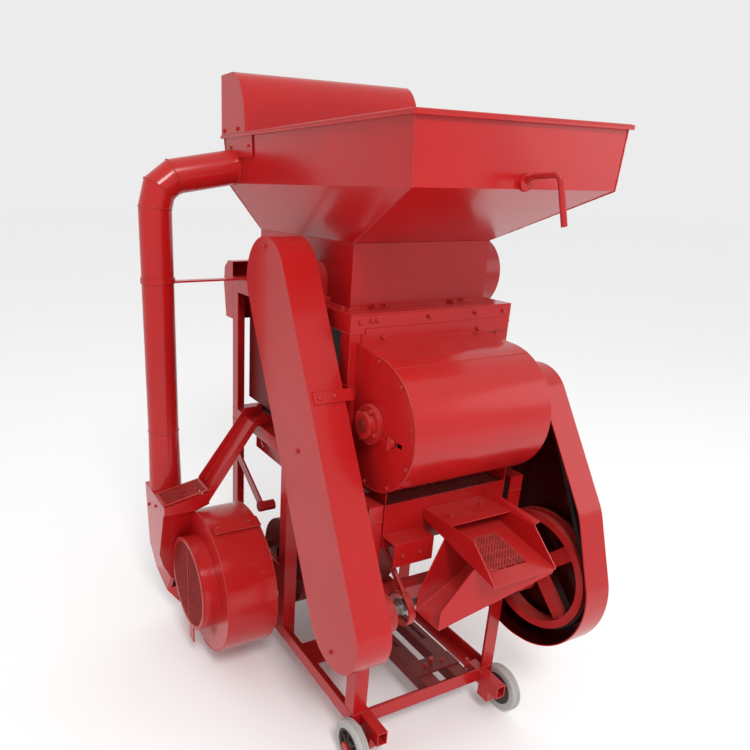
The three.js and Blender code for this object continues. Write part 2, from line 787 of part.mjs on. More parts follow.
// Pillow block with its foot below, for a shaft along X
function blockOnTop(x, y, z, footZ) {
  const body = union([
    barX(blockRadius, x - blockWidth / 2, x + blockWidth / 2, y, z),
    box(x - blockWidth / 2, x + blockWidth / 2, y - blockFootLength / 2, y + blockFootLength / 2,
      footZ, footZ + blockFootHeight),
    box(x - blockWidth / 2, x + blockWidth / 2, y - blockRadius, y + blockRadius, footZ, z),
  ]);
  return cut(body, [
    box(x - blockWidth, x + blockWidth, y - blockFootLength, y + blockFootLength, footZ - blockRadius, footZ),
    shaftX(shaftRadius + running, x - blockWidth, x + blockWidth, y, z),
  ]);
}

// Pillow block with its foot against a face behind it
function blockOnFront(x, y, z, footY) {
  const body = union([
    barX(blockRadius, x - blockWidth / 2, x + blockWidth / 2, y, z),
    box(x - blockWidth / 2, x + blockWidth / 2, footY - blockFootHeight, footY,
      z - blockFootLength / 2, z + blockFootLength / 2),
    box(x - blockWidth / 2, x + blockWidth / 2, y, footY, z - blockRadius, z + blockRadius),
  ]);
  return cut(body, [
    box(x - blockWidth, x + blockWidth, footY, footY + blockRadius, z - blockFootLength, z + blockFootLength),
    shaftX(shaftRadius + running, x - blockWidth, x + blockWidth, y, z),
  ]);
}

const blockX = neckHalfWidth + seat + blockWidth / 2;
add('drum_bearing_left', blockOnTop(-blockX, drumShaftY, drumZ, plateTop + seat), castRed);
add('drum_bearing_right', blockOnTop(blockX, drumShaftY, drumZ, plateTop + seat), castRed);

// Round cover over the drum shaft's right end: full beside the frame, half over the plate
const coverRadius = drumRadius + drumDiscThickness / 2;
const coverIn = neckHalfWidth + seat;
const overPlate = barX(coverRadius, coverIn, frameSide + seat * 2, drumShaftY, drumZ)
  .subtract(box(0, frameSide + overrun, 0, frameDepth, plateBottom - frameDepth, plateTop + seat));
const cover = cut(union([
  barX(coverRadius, frameSide + seat, coverOut, drumShaftY, drumZ),
  overPlate,
]), [barX(coverRadius - guardWall, coverIn - overrun, coverOut - guardWall, drumShaftY, drumZ)]);
add('drum_end_cover', cover, red);

// Grooved pulley on a shaft along X
const onShaft = shaftRadius + seat;
function pulley(radius, middleX, y, z) {
  const rim = barX(radius, middleX - pulleyWidth / 2, middleX + pulleyWidth / 2, y, z);
  const grooveHalf = beltWidth / 2 + seat;
  const groove = cut(barX(radius + overrun, middleX - grooveHalf, middleX + grooveHalf, y, z), [
    barX(radius - grooveDepth, middleX - beltWidth, middleX + beltWidth, y, z),
  ]);
  return cut(rim, [groove, shaftX(onShaft, middleX - pulleyWidth, middleX + pulleyWidth, y, z)]);
}

// Belt round two pulleys in one plane
function belt(discA, discB, middleX) {
  const inner = [discA, discB];
  return cut(plateX(outlineRound(grow(inner, beltDepth)), middleX - beltWidth / 2, middleX + beltWidth / 2), [
    plateX(outlineRound(inner), middleX - beltWidth, middleX + beltWidth),
  ]);
}

add('drum_pulley', pulley(drumPulleyRadius, leftPlane, drumShaftY, drumZ), castRed);
add('jack_pulley_left', pulley(jackSmallRadius, leftPlane, jackShaftY, jackShaftZ), castRed);
const beltRadius = (radius) => (radius - grooveDepth) / Math.cos(Math.PI / mostSides) + running;
add('left_belt', belt([drumShaftY, drumZ, beltRadius(drumPulleyRadius)],
  [jackShaftY, jackShaftZ, beltRadius(jackSmallRadius)], leftPlane), rubber);

// Big spoked pulley and the right guard
const rightGuardIn = frameSide + rightGuardStandOff;
const rightGuardOut = rightGuardIn + rightGuardDepth;
const rightPlane = rightGuardOut - guardWall - (rightGuardDepth - guardWall) / 2;
const bigRim = cut(pulley(bigPulleyRadius, rightPlane, jackShaftY, jackShaftZ), [
  barX(bigPulleyRadius - bigRimDepth, rightPlane - pulleyWidth, rightPlane + pulleyWidth, jackShaftY,
    jackShaftZ),
]);
const bigPieces = [bigRim, barX(bigHubRadius, rightPlane - pulleyWidth / 2, rightPlane + pulleyWidth / 2,
  jackShaftY, jackShaftZ)];
for (let i = 0; i < spokeCount; i += 1) {
  const spoke = box(rightPlane - spokeThickness / 2, rightPlane + spokeThickness / 2,
    jackShaftY + bigHubRadius / 2, jackShaftY + bigPulleyRadius - bigRimDepth / 2,
    jackShaftZ - spokeWidth / 2, jackShaftZ + spokeWidth / 2);
  const spokeTurn = (wholeTurn * (i * 2 + 1)) / (spokeCount * 2);
  bigPieces.push(spoke.translate([0, -jackShaftY, -jackShaftZ]).rotate([spokeTurn, 0, 0])
    .translate([0, jackShaftY, jackShaftZ]));
}
const bigBore = shaftX(onShaft, rightPlane - pulleyWidth, rightPlane + pulleyWidth, jackShaftY, jackShaftZ);
add('big_pulley', cut(union(bigPieces), [bigBore]), castRed);
add('blower_pulley', pulley(blowerPulleyRadius, rightPlane, blowerY, blowerZ), castRed);
add('right_belt', belt([blowerY, blowerZ, beltRadius(blowerPulleyRadius)],
  [jackShaftY, jackShaftZ, beltRadius(bigPulleyRadius)], rightPlane), rubber);

const rightDiscs = [
  [blowerY + guardTopBack, blowerZ - guardTopDrop, blowerPulleyRadius + guardTopClear],
  [jackShaftY + guardTopBack, mixed(jackShaftZ, blowerZ, bulgeShare), bigPulleyRadius + guardBulge],
  [jackShaftY + guardFootBack, jackShaftZ - guardFootDrop, bigPulleyRadius + guardFootClear],
];
const guardRearY = rightDiscs[0][0] + rightDiscs[0][2];
const rightLugs = [rightDiscs[1][1] - strapWidth / 2, tableTop - strapWidth].flatMap((z) => [
  box(frameSide + seat, rightGuardIn + guardLug * 2, guardRearY - guardLug * 2, guardRearY + strapThickness,
    z, z + strapWidth),
  box(frameSide + seat, frameSide + seat + strapThickness, guardRearY - guardLug * 2,
    guardRearY + guardLugReach, z, z + strapWidth),
]);
const rightGuard = cut(union([plateX(outlineRound(rightDiscs), rightGuardIn, rightGuardOut), ...rightLugs]), [
  plateX(outlineRound(grow(rightDiscs, -guardWall)), rightGuardIn - seat, rightGuardOut - guardWall),
]);
add('right_belt_guard', rightGuard, red);

// Jackshaft with two pillow blocks on the front posts and an eccentric each side for the deck
const jackBlockX = frameSide - angleLeg / 2;
add('jack_bearing_left', blockOnFront(-jackBlockX, jackShaftY, jackShaftZ, frontY - seat), castRed);
add('jack_bearing_right', blockOnFront(jackBlockX, jackShaftY, jackShaftZ, frontY - seat), castRed);
const rodX = innerSide - angleLeg;
const eccentrics = sides.map(([, side]) => barX(eccentricRadius, side * rodX - eccentricWidth / 2,
  side * rodX + eccentricWidth / 2, jackShaftY, jackShaftZ + eccentricThrow));
add('jackshaft', union([
  shaftX(shaftRadius, leftPlane - shaftEnd, rightPlane + shaftEnd, jackShaftY, jackShaftZ),
  ...eccentrics,
]), steel);

// Rods from the eccentrics to the deck's floor
const strapBore = eccentricRadius + eccentricThrow + deckTravel + rodPlay;
const strapOuter = strapBore + rodRim;
const rodTop = deckBottom - seat;
const rodFootY = frontY + angleLeg;
for (const [name, side] of sides) {
  const middle = side * rodX;
  const rod = cut(union([
    barX(strapOuter, middle - eccentricWidth / 2, middle + eccentricWidth / 2, jackShaftY, jackShaftZ),
    plateX([[jackShaftY - rodWidth / 2, jackShaftZ + strapBore],
      [jackShaftY + rodWidth / 2, jackShaftZ + strapBore],
      [rodFootY + rodWidth, rodTop],
      [rodFootY, rodTop]],
    middle - strapThickness, middle + strapThickness),
    box(middle - rodWidth, middle + rodWidth, rodFootY - rodWidth / 2, rodFootY + rodWidth * 1.5,
      rodTop - strapThickness, rodTop),
  ]), [barX(strapBore, middle - eccentricWidth, middle + eccentricWidth, jackShaftY, jackShaftZ)]);
  add(`deck_rod_${name}`, rod, castRed);
}

// Winnowing blower housing: a scroll that opens back into the casing
function blowerOutline(less) {
  const radius = blowerRadius - less;
  const points = Array.from({ length: scrollSteps + 1 }, (_, i) => {
    const turn = Math.PI / 2 + (Math.PI * scrollShare * i) / scrollSteps;
    return [blowerY + radius * Math.cos(turn), blowerZ + radius * Math.sin(turn)];
  });
  const back = less > 0 ? overrun : -seat;
  return [...points, [back, blowerZ - blowerRadius * mouthFloorShare + less], [back, blowerTopZ - less]];
}
const mouthFlange = box(-innerSide, frameSide - overrun, -seat - blowerSheet, -seat, blowerTopZ - blowerSheet,
  frameHeight - angleLeg + guardLug);
const damperSlotY = blowerY - blowerRadius * damperShare;
const blowerBody = cut(union([plateX(blowerOutline(0), blowerLeftX, blowerRightX), mouthFlange]), [
  plateX(blowerOutline(blowerSheet), blowerLeftX + blowerSheet, blowerRightX - blowerSheet),
  barX(inletRadius, blowerRightX - blowerSheet * 2, blowerRightX + overrun, blowerY, blowerZ),
  shaftX(shaftRadius + running * 2, blowerLeftX - overrun, blowerLeftX + blowerSheet * 2, blowerY, blowerZ),
  box(blowerLeftX - overrun, blowerLeftX + blowerSheet * 2, damperSlotY, damperSlotY + damperTravel * 2,
    blowerZ - railSlotWidth * 2, blowerZ - railSlotWidth),
]);
add('blower_housing', blowerBody, red);

// Inlet ring and spider on the right end carry the right bearing
const ringOuter = inletRadius + angleLeg;
const ringX = blowerRightX + seat;
const spiderReach = inletRadius + angleThickness;
const spider = union([
  cut(barX(ringOuter, ringX, ringX + strapThickness, blowerY, blowerZ), [
    barX(inletRadius, ringX - overrun, ringX + overrun * 2, blowerY, blowerZ),
  ]),
  box(ringX, ringX + strapThickness, blowerY - spiderReach, blowerY + spiderReach,
    blowerZ - strapWidth / 2, blowerZ + strapWidth / 2),
  box(ringX, ringX + strapThickness, blowerY - strapWidth / 2, blowerY + strapWidth / 2,
    blowerZ - spiderReach, blowerZ + spiderReach),
  barX(flangeDisc - bladeTipGap / 2, ringX, ringX + strapThickness, blowerY, blowerZ),
]);
add('blower_inlet_spider', cut(spider, [
  shaftX(shaftRadius + running * 2, ringX - overrun, ringX + overrun * 2, blowerY, blowerZ),
]), red);

function flangeBearing(x, outward, y, z) {
  const far = x + outward * flangeDiscWidth;
  const middle = x + (outward * flangeDiscWidth) / 2;
  const body = union([
    barX(flangeDisc, x, middle, y, z),
    barX(shaftRadius * 2, x, far, y, z),
  ]);
  return cut(body, [shaftX(shaftRadius + running, x - outward * overrun, far + outward * overrun, y, z)]);
}
add('blower_bearing_left', flangeBearing(blowerLeftX - seat, -1, blowerY, blowerZ), castRed);
add('blower_bearing_right', flangeBearing(ringX + strapThickness + seat, 1, blowerY, blowerZ), castRed);

// Flat blades on a hub
function rotor(left, right, y, z, radius, count) {
  const pieces = [barX(rotorHubRadius, left, right, y, z)];
  for (let i = 0; i < count; i += 1) {
    const blade = box(left, right, rotorHubRadius / 2, radius, -bladeThickness / 2, bladeThickness / 2);
    pieces.push(blade.rotate([(wholeTurn * i) / count, 0, 0]).translate([0, y, z]));
  }
  return union(pieces);
}
const blowerShaftLeft = blowerLeftX - seat - flangeDiscWidth - overrun;
add('blower_rotor', union([
  shaftX(shaftRadius, blowerShaftLeft, rightPlane + shaftEnd, blowerY, blowerZ),
  rotor(blowerLeftX + blowerSheet + bladeGap, blowerRightX - blowerSheet - bladeGap, blowerY, blowerZ,
    blowerRadius - blowerSheet - bladeTipGap, bladeCount),
]), innerRed);

// Air damper inside the left plate, moved by a wing bolt in its slot
const damperIn = blowerLeftX + blowerSheet + seat;
const damperY = damperSlotY + damperTravel;
const damperZ = blowerZ - (railSlotWidth * 3) / 2;
const damperBolt = railSlotWidth / 2 - running;
const damperHead = blowerLeftX - damperThickness * 3;
const damper = union([
  box(damperIn, damperIn + damperThickness, damperY - strapWidth / 3, damperY + strapWidth,
    damperZ - strapWidth, damperZ + strapWidth),
  barX(damperBolt, damperHead, damperIn + damperThickness / 2, damperY, damperZ, damperSides),
  barX(damperBolt + strapThickness, damperHead, blowerLeftX - seat * 2, damperY, damperZ, damperSides),
  box(damperHead - damperThickness * 2, damperHead + damperThickness, damperY - damperThickness / 2,
    damperY + damperThickness / 2, damperZ - strapWidth / 2, damperZ + strapWidth / 2),
]);
add('air_damper', damper, castRed);

// Deck: a tray with a slotted screen near its top, an opening in front over the chute
const deckFront = frontY + seat + deckTravel + angleThickness;
const chuteWallTopZ = deckBottom + chuteWallRise;
const chuteTipZ = deckBottom + chuteTipRise;
const chuteBackZ = chuteTipZ + chuteFloorRise;
const frontWallTop = deckTop - deckFrontDrop;
const screenZ = deckTop - screenDrop;
const screenFrontZ = deckTop - screenFrontDrop;
const screenBendY = inletFrontY - screenBend;
const ledge = deckSheet * 3;
const tray = cut(box(-deckHalfWidth, deckHalfWidth, deckFront, deckBackY, deckBottom, deckTop), [
  box(-deckHalfWidth + deckSheet, deckHalfWidth - deckSheet, deckFront + deckSheet, deckBackY - deckSheet,
    deckBottom + deckSheet, deckTop + overrun),
  box(chuteLeftX + deckSheet * 2, chuteRightX - deckSheet * 2, deckFront - overrun,
    deckFront + deckSheet + overrun, chuteBackZ, chuteWallTopZ - deckSheet * 2),
  box(-deckHalfWidth + deckSheet, deckHalfWidth - deckSheet, deckFront - overrun,
    deckFront + deckSheet + overrun, frontWallTop, deckTop + overrun),
  box(-deckHalfWidth - overrun, -deckHalfWidth + deckSheet + overrun, inletFrontY, inletBackY, screenZ,
    deckTop + overrun),
]);
const pins = sides.flatMap(([, side]) => [hangerFrontY, hangerRearY].map((y) => barX(pinRadius,
  side * (deckHalfWidth - deckSheet / 2), side * (hangerOut + hangerThickness / 2), y, lowPinZ, pinSides)));
const screenHalf = deckHalfWidth - deckSheet - seat;
const screenFront = deckFront + deckSheet + seat;
const screenBack = deckBackY - deckSheet - seat;
const screenOutline = (over, under, gap) => [
  [screenFront - gap, screenFrontZ - under],
  [screenBendY, screenZ - under],
  [screenBack + gap, screenZ - under],
  [screenBack + gap, screenZ - over],
  [screenBendY, screenZ - over],
  [screenFront - gap, screenFrontZ - over],
];
const ledges = sides.map(([, side]) => {
  const inner = side * (deckHalfWidth - ledge);
  const outer = side * (deckHalfWidth - deckSheet / 2);
  return plateX(screenOutline(deckSheet, deckSheet * 2, seat + weld), Math.min(inner, outer),
    Math.max(inner, outer));
});

// Shelf with a lip across the tray's front, on both sides of the chute
const shelfTop = frontWallTop - shelfDrop;
const shelfOut = deckFront - shelfDepth;
const shelves = [[-deckHalfWidth, chuteLeftX - running * 2], [chuteRightX + running * 2, deckHalfWidth]];
const shelfPieces = shelves.flatMap(([x0, x1]) => [
  box(x0, x1, shelfOut, deckFront + deckSheet / 2, shelfTop - deckSheet, shelfTop),
  box(x0, x1, shelfOut, shelfOut + deckSheet, shelfTop - shelfLip, shelfTop - deckSheet / 2),
]);
add('deck_tray', union([tray, ...pins, ...ledges, ...shelfPieces]), red);

const screenPitch = (screenBack - screenFront) / (screenSlotRows + 1);
const slotHalf = (screenPitch * screenSlotShare) / 2;
const screenSlots = [];
for (let i = 1; i <= screenSlotRows; i += 1) {
  const y = screenFront + screenPitch * i;
  for (const [, side] of sides) {
    const [inner, outer] = screenSideSlotShares.map((share) => side * screenHalf * share);
    screenSlots.push(box(inner, outer, y - slotHalf, y + slotHalf, screenFrontZ - overrun,
      screenZ + overrun));
  }
}
add('deck_screen', cut(plateX(screenOutline(0, deckSheet - seat, 0), -screenHalf, screenHalf), screenSlots),
  darkSteel);

// Hangers: flat bars between the pins under the table beams and the pins on the tray
for (const [name, side] of sides) {
  for (const [end, y] of [['front', hangerFrontY], ['rear', hangerRearY]]) {
    const low = Math.min(side * hangerIn, side * hangerOut);
    const high = Math.max(side * hangerIn, side * hangerOut);
    const discs = [[y, lowPinZ, hangerWidth / 2], [y, highPinZ, hangerWidth / 2]];
    const bar = plateX(outlineRound(discs, fewestSides * 2), low, high);
    add(`hanger_${end}_${name}`, cut(bar, [
      barX(pinRadius + hangerPlay, low - overrun, high + overrun, y, lowPinZ, pinSides),
      barX(pinRadius + running, low - overrun, high + overrun, y, highPinZ, pinSides),
    ]), castRed);
  }
}

// Front chute: floor with slots, two side walls with a knee, and a cover plate near the tray
const chuteBackY = deckFront - seat;
const chuteTipY = chuteBackY - chuteReach;
const kneeY = chuteBackY - chuteReach * chuteKneeShare;
const chuteWallOutline = [
  [chuteBackY, chuteBackZ - deckSheet],
  [chuteTipY, chuteTipZ - deckSheet],
  [chuteTipY, chuteTipZ + deckSheet],
  [kneeY, chuteWallTopZ],
  [chuteBackY, chuteWallTopZ],
];
const floorOutline = [
  [chuteBackY, chuteBackZ - deckSheet],
  [chuteTipY, chuteTipZ - deckSheet],
  [chuteTipY, chuteTipZ],
  [chuteBackY, chuteBackZ],
];
const chuteFloor = plateX(floorOutline, chuteLeftX + deckSheet / 2, chuteRightX - deckSheet / 2);
const sieveHoles = [];
const sieveStart = chuteBackY - chuteReach * sieveBackShare;
const sieveEnd = chuteBackY - chuteReach * sieveFrontShare;
const sieveLeft = chuteLeftX + deckSheet * 2;
const cellWide = (chuteRightX - sieveRightRoom - sieveLeft) / sieveCellCount;
const cellDeep = (sieveStart - sieveEnd) / sieveCellCount;
for (let row = 0; row < sieveCellCount; row += 1) {
  for (let k = 0; k < sieveCellCount; k += 1) {
    const x = sieveLeft + cellWide * k;
    const y = sieveEnd + cellDeep * row;
    sieveHoles.push(box(x, x + cellWide - sieveBarWidth, y, y + cellDeep - sieveBarWidth,
      chuteTipZ - deckSheet * 2, chuteBackZ + deckSheet));
  }
}
const chuteCover = box(chuteLeftX, chuteRightX, chuteBackY - chuteCoverDepth, chuteBackY,
  chuteWallTopZ - deckSheet, chuteWallTopZ);
const chute = union([
  chuteCover,
  plateX(chuteWallOutline, chuteLeftX, chuteLeftX + deckSheet),
  plateX(chuteWallOutline, chuteRightX - deckSheet, chuteRightX),
  cut(chuteFloor, sieveHoles),
]);
add('kernel_chute', chute, red);

// Spout under the chute's slots: a trough that narrows and falls to the left
const floorAt = (y) => chuteTipZ + (chuteFloorRise * (y - chuteTipY)) / chuteReach;
function troughRing(x, yFront, yBack, zFront, zBack, zFloor) {
  return [
    [x, yFront, zFront],
    [x, yFront, zFloor],
    [x, yBack, zFloor],
    [x, yBack, zBack],
    [x, yBack - deckSheet, zBack],
    [x, yBack - deckSheet, zFloor + deckSheet],
    [x, yFront + deckSheet, zFloor + deckSheet],
    [x, yFront + deckSheet, zFront],
  ];
}
const spoutFrontY = chuteTipY + deckSheet;
const spoutBackY = sieveStart + strapWidth;
const hang = deckSheet + seat * 3;
const spoutEndX = chuteLeftX - spoutReach;
const spoutFloorHigh = floorAt(spoutFrontY) - hang - deckSheet * 3;
const spoutFloorLow = spoutFloorHigh - spoutDrop;
const leftShare = (chuteRightX - chuteLeftX) / (chuteRightX - spoutEndX);
const leftFloor = mixed(spoutFloorHigh, spoutFloorLow, leftShare);
const endFront = spoutFrontY + spoutNarrowFront;
const endBack = spoutBackY - spoutNarrowBack;
const leftFront = mixed(spoutFrontY, endFront, leftShare);
const leftBack = mixed(spoutBackY, endBack, leftShare);
const spoutRings = [
  troughRing(spoutEndX, endFront, endBack, spoutFloorLow + spoutWallHeight, spoutFloorLow + spoutWallHeight,
    spoutFloorLow),
  troughRing(chuteLeftX, leftFront, leftBack, floorAt(leftFront) - hang, floorAt(leftBack) - hang, leftFloor),
  troughRing(chuteRightX - deckSheet, spoutFrontY, spoutBackY, floorAt(spoutFrontY) - hang,
    floorAt(spoutBackY) - hang, spoutFloorHigh),
];
add('fines_spout', loft(spoutRings, channelCap), red);

// Lift fan housing: drum with an inlet collar on its left and an outlet at its rear foot
const fanInner = fanRadius - fanSheet;
const outletY = fanY + fanOutletReach;
const fanShell = union([
  barX(fanRadius, fanLeftX, fanRightX, fanY, fanZ),
  box(fanLeftX, fanRightX, fanY, outletY, fanZ - fanRadius, fanZ - fanRadius + fanOutlet),
  barX(fanInletRadius + fanSheet * 2, fanLeftX - fanCollarLength, fanLeftX + fanSheet, fanY, fanZ),
]);
add('lift_fan_housing', cut(fanShell, [
  barX(fanInner, fanLeftX + fanSheet, fanRightX - fanSheet, fanY, fanZ),
  box(fanLeftX + fanSheet, fanRightX - fanSheet, fanY, outletY + overrun, fanZ - fanInner,
    fanZ - fanRadius + fanOutlet - fanSheet),
  barX(fanInletRadius, fanLeftX - fanCollarLength - overrun, fanLeftX + fanSheet + overrun, fanY, fanZ),
  shaftX(shaftRadius + running * 2, fanRightX - fanSheet - overrun, fanRightX + overrun, fanY, fanZ),
]), red);

// Grille over the inlet: a ring crossed by bars
const grilleIn = fanLeftX - fanCollarLength - seat;
const grilleOut = grilleIn - strapThickness;
const grillePieces = [cut(barX(fanInletRadius + fanSheet * 2, grilleOut, grilleIn, fanY, fanZ), [
  barX(fanInletRadius - fanSheet, grilleOut - overrun, grilleIn + overrun, fanY, fanZ),
])];
for (let i = 1; i <= grilleBarCount; i += 1) {
  const offset = -fanInletRadius + (2 * fanInletRadius * i) / (grilleBarCount + 1);
  const reach = Math.sqrt(fanInletRadius ** 2 - offset ** 2);
  grillePieces.push(box(grilleOut, grilleOut + fanSheet, fanY - reach, fanY + reach,
    fanZ + offset - grilleBarWidth / 2, fanZ + offset + grilleBarWidth / 2));
}
grillePieces.push(box(grilleOut, grilleIn, fanY - grilleBarWidth, fanY + grilleBarWidth,
  fanZ - fanInletRadius, fanZ + fanInletRadius));
add('fan_grille', union(grillePieces), innerRed);

// One shaft turns the lift fan and the fan under the deck
const fanShaftLeft = fanLeftX;
const fanShaftRight = fanPlateFace + strapThickness;
add('fan_rotor', union([
  shaftX(shaftRadius, fanShaftLeft, fanShaftRight, fanY, fanZ),
  rotor(fanLeftX + fanSheet + fanBladeGap, fanRightX - fanSheet - fanBladeGap, fanY, fanZ,
    fanInner - fanBladeGap, fanBladeCount),
  rotor(-innerFanHalfLength + bladeGap, innerFanHalfLength - bladeGap, fanY, fanZ,
    innerFanRadius - sheet - bladeTipGap, bladeCount),
]), innerRed);
const mouthFrontY = fanY - innerFanRadius;
const mouthBackY = fanY + innerFanRadius * innerMouthShare;
const mouthOutline = (less, over) => [
  [mouthFrontY + less, fanZ],
  [mouthFrontY + less, fanZ + innerMouthHeight + over],
  [mouthBackY - less, fanZ + innerMouthHeight + over],
  [mouthBackY - less, fanZ],
];
const earReach = innerFanRadius * innerEarShare;
const ears = sides.flatMap(([, side]) => [-1, 1].map((way) => box(side * (innerFanHalfLength - sheet),
  side * (fanPlateFace - seat), fanY + way * earReach, fanY + way * (earReach - strapWidth), fanZ - sheet,
  fanZ + sheet)));
add('under_deck_fan_housing', cut(union([
  barX(innerFanRadius, -innerFanHalfLength, innerFanHalfLength, fanY, fanZ),
  plateX(mouthOutline(0, 0), -innerFanHalfLength, innerFanHalfLength),
  ...ears,
]), [
  barX(innerFanRadius - sheet, -innerFanHalfLength + sheet, innerFanHalfLength - sheet, fanY, fanZ),
  plateX(mouthOutline(sheet, overrun), -innerFanHalfLength + sheet, innerFanHalfLength - sheet),
  barX(shaftRadius * 3, -innerFanHalfLength - overrun, innerFanHalfLength + overrun, fanY, fanZ),
]), innerRed);
for (const [name, side] of sides) {
  add(`fan_bearing_${name}`, flangeBearing(side * (fanPlateFace - seat), -side, fanY, fanZ), castRed);
}

// Lift duct: swings from the fan's foot to the back and up to the pipe
const ductSections = [
  { outer: [outletY + seat, fanZ - fanRadius], inner: [outletY + seat, fanZ - fanRadius + fanOutlet],
    left: fanLeftX, right: fanRightX },
  ...outerBackShares.map((share, i) => ({
    outer: [fanY + fanRadius * share, fanZ + fanRadius * outerUpShares[i]],
    inner: [fanY + fanRadius * innerBackShares[i], fanZ + fanRadius * innerUpShares[i]],
    left: mixed(fanLeftX, ductLeftX, leftShares[i]),
    right: mixed(fanRightX, ductRightX, rightShares[i]),
  })),
  { outer: [ductBackY, ductTopZ], inner: [inletFrontY, ductTopZ], left: ductLeftX, right: ductRightX },
];
function ductRing(section, less, push) {
  const [oy, oz] = section.outer;
  const [iy, iz] = section.inner;
  const length = Math.hypot(iy - oy, iz - oz);
  const uy = ((iy - oy) / length) * less;
  const uz = ((iz - oz) / length) * less;
  return [
    [section.left + less, oy + uy + push[0], oz + uz + push[1]],
    [section.right - less, oy + uy + push[0], oz + uz + push[1]],
    [section.right - less, iy - uy + push[0], iz - uz + push[1]],
    [section.left + less, iy - uy + push[0], iz - uz + push[1]],
  ];
}
const still = [0, 0];
const fanGrown = (more) => barX(fanRadius + more, fanLeftX - more, fanRightX + more, fanY, fanZ);
const ductOuter = loft(ductSections.map((section) => ductRing(section, 0, still)));
const ductHollow = loft(ductSections.map((section, i) => {
  const last = i === ductSections.length - 1;
  const push = i === 0 ? [-overrun, 0] : still;
  return ductRing(section, ductSheet, last ? [0, -ductSheet] : push);
}));
const inletOutline = [[ductLeftX, ductTopZ - inletRise], [ductRightX, ductTopZ - inletRise],
  [inletRightX, ductTopZ - inletRise / 2], [inletRightX, ductTopZ + inletRise], [ductLeftX, ductTopZ]];
const inletHollow = [[ductLeftX + ductSheet, ductTopZ - inletRise + ductSheet],
  [ductRightX, ductTopZ - inletRise + ductSheet],
  [inletRightX + overrun, ductTopZ - inletRise / 2 + ductSheet * 2],
  [inletRightX + overrun, ductTopZ + inletRise + overrun * 2], [ductLeftX + ductSheet, ductTopZ + overrun]];
const ductShell = cut(union([ductOuter, plateY(inletOutline, inletFrontY, inletBackY)]), [fanGrown(seat)]);
const duct = cut(ductShell, [
  ductHollow.subtract(fanGrown(seat + ductSheet)),
  plateY(inletHollow, inletFrontY + ductSheet, inletBackY - ductSheet),
  barZ(pipeFootRadius - pipeWall, ductTopZ - overrun, ductTopZ + overrun, pipeX, pipeY),
]);
add('lift_duct', duct, red);

// Wire mesh in a frame over the inlet, lying on its slope
const meshAngle = Math.atan2(inletRise, inletRightX - ductLeftX);
const meshLength = (inletRightX - ductLeftX) / Math.cos(meshAngle);
const meshDepth = inletBackY - inletFrontY;
const meshPieces = [cut(box(0, meshLength, 0, meshDepth, 0, strapThickness), [
  box(strapWidth / 2, meshLength - strapWidth / 2, strapWidth / 2, meshDepth - strapWidth / 2, -overrun,
    strapThickness + overrun),
])];
const windowEdge = strapWidth / 2;
const wireLow = meshWireThickness / 2;
for (let i = 1; i < meshCellCount; i += 1) {
  const across = windowEdge + ((meshLength - windowEdge * 2) * i) / meshCellCount;
  const deep = windowEdge + ((meshDepth - windowEdge * 2) * i) / meshCellCount;
  meshPieces.push(box(across - meshWireWidth / 2, across + meshWireWidth / 2, wireLow, meshDepth - wireLow,
    wireLow, wireLow + meshWireThickness));
  meshPieces.push(box(wireLow, meshLength - wireLow, deep - meshWireWidth / 2, deep + meshWireWidth / 2,
    wireLow + snug, wireLow + meshWireThickness - snug));
}
const meshLift = seat / Math.cos(meshAngle);
add('inlet_mesh', union(meshPieces).rotate([0, (-meshAngle * 180) / Math.PI, 0])
  .translate([ductLeftX, inletFrontY, ductTopZ + meshLift]), innerRed);

// Pipe: flared foot, long straight, mitred bend, short rising arm into the hopper
const hopperLowZ = neckTop + seat;
const beltZ = hopperLowZ + slopeRise;
const rimZ = beltZ + wallRise;
const armEndX = -beltHalfWidth + neckWall * 2;
const armZ = beltZ + armAboveBelt;
const elbowZ = armZ - armDrop;
const [bendOneX, bendOneZ, bendTwoX, bendTwoZ] = elbowShares.map((share) => pipeRadius * share);
const path = [
  [pipeX, ductTopZ + seat, pipeFootRadius, pipeY],
  [pipeX, ductTopZ + pipeFlare, pipeRadius, pipeY],
  [pipeX, elbowZ, pipeRadius, pipeY],
  [pipeX + bendOneX, elbowZ + bendOneZ, pipeRadius, pipeY],
  [pipeX + bendTwoX, armZ - bendTwoZ, pipeRadius, pipeY],
  [armEndX, armZ, pipeRadius, armY],
];
function pipeRings(less, extend) {
  return path.map(([x, z, radius, y], i) => {
    const before = path[Math.max(i - 1, 0)];
    const after = path[Math.min(i + 1, path.length - 1)];
    const into = new THREE.Vector2(x - before[0], z - before[1]);
    const out = new THREE.Vector2(after[0] - x, after[1] - z);
    if (into.length() === 0) into.copy(out);
    if (out.length() === 0) out.copy(into);
    into.normalize();
    out.normalize();
    const along = into.clone().add(out).normalize();
    const stretch = 1 / Math.max(along.dot(into), 1 / 2);
    const crossX = along.y;
    const crossZ = -along.x;
    const push = (i === 0 ? -extend : 0) + (i === path.length - 1 ? extend : 0);
    return Array.from({ length: pipeSides }, (_, k) => {
      const turn = (2 * Math.PI * k) / pipeSides;
      const across = (radius - less) * Math.cos(turn) * stretch;
      return [x + crossX * across + along.x * push, y + (radius - less) * Math.sin(turn),
        z + crossZ * across + along.y * push];
    });
  });
}
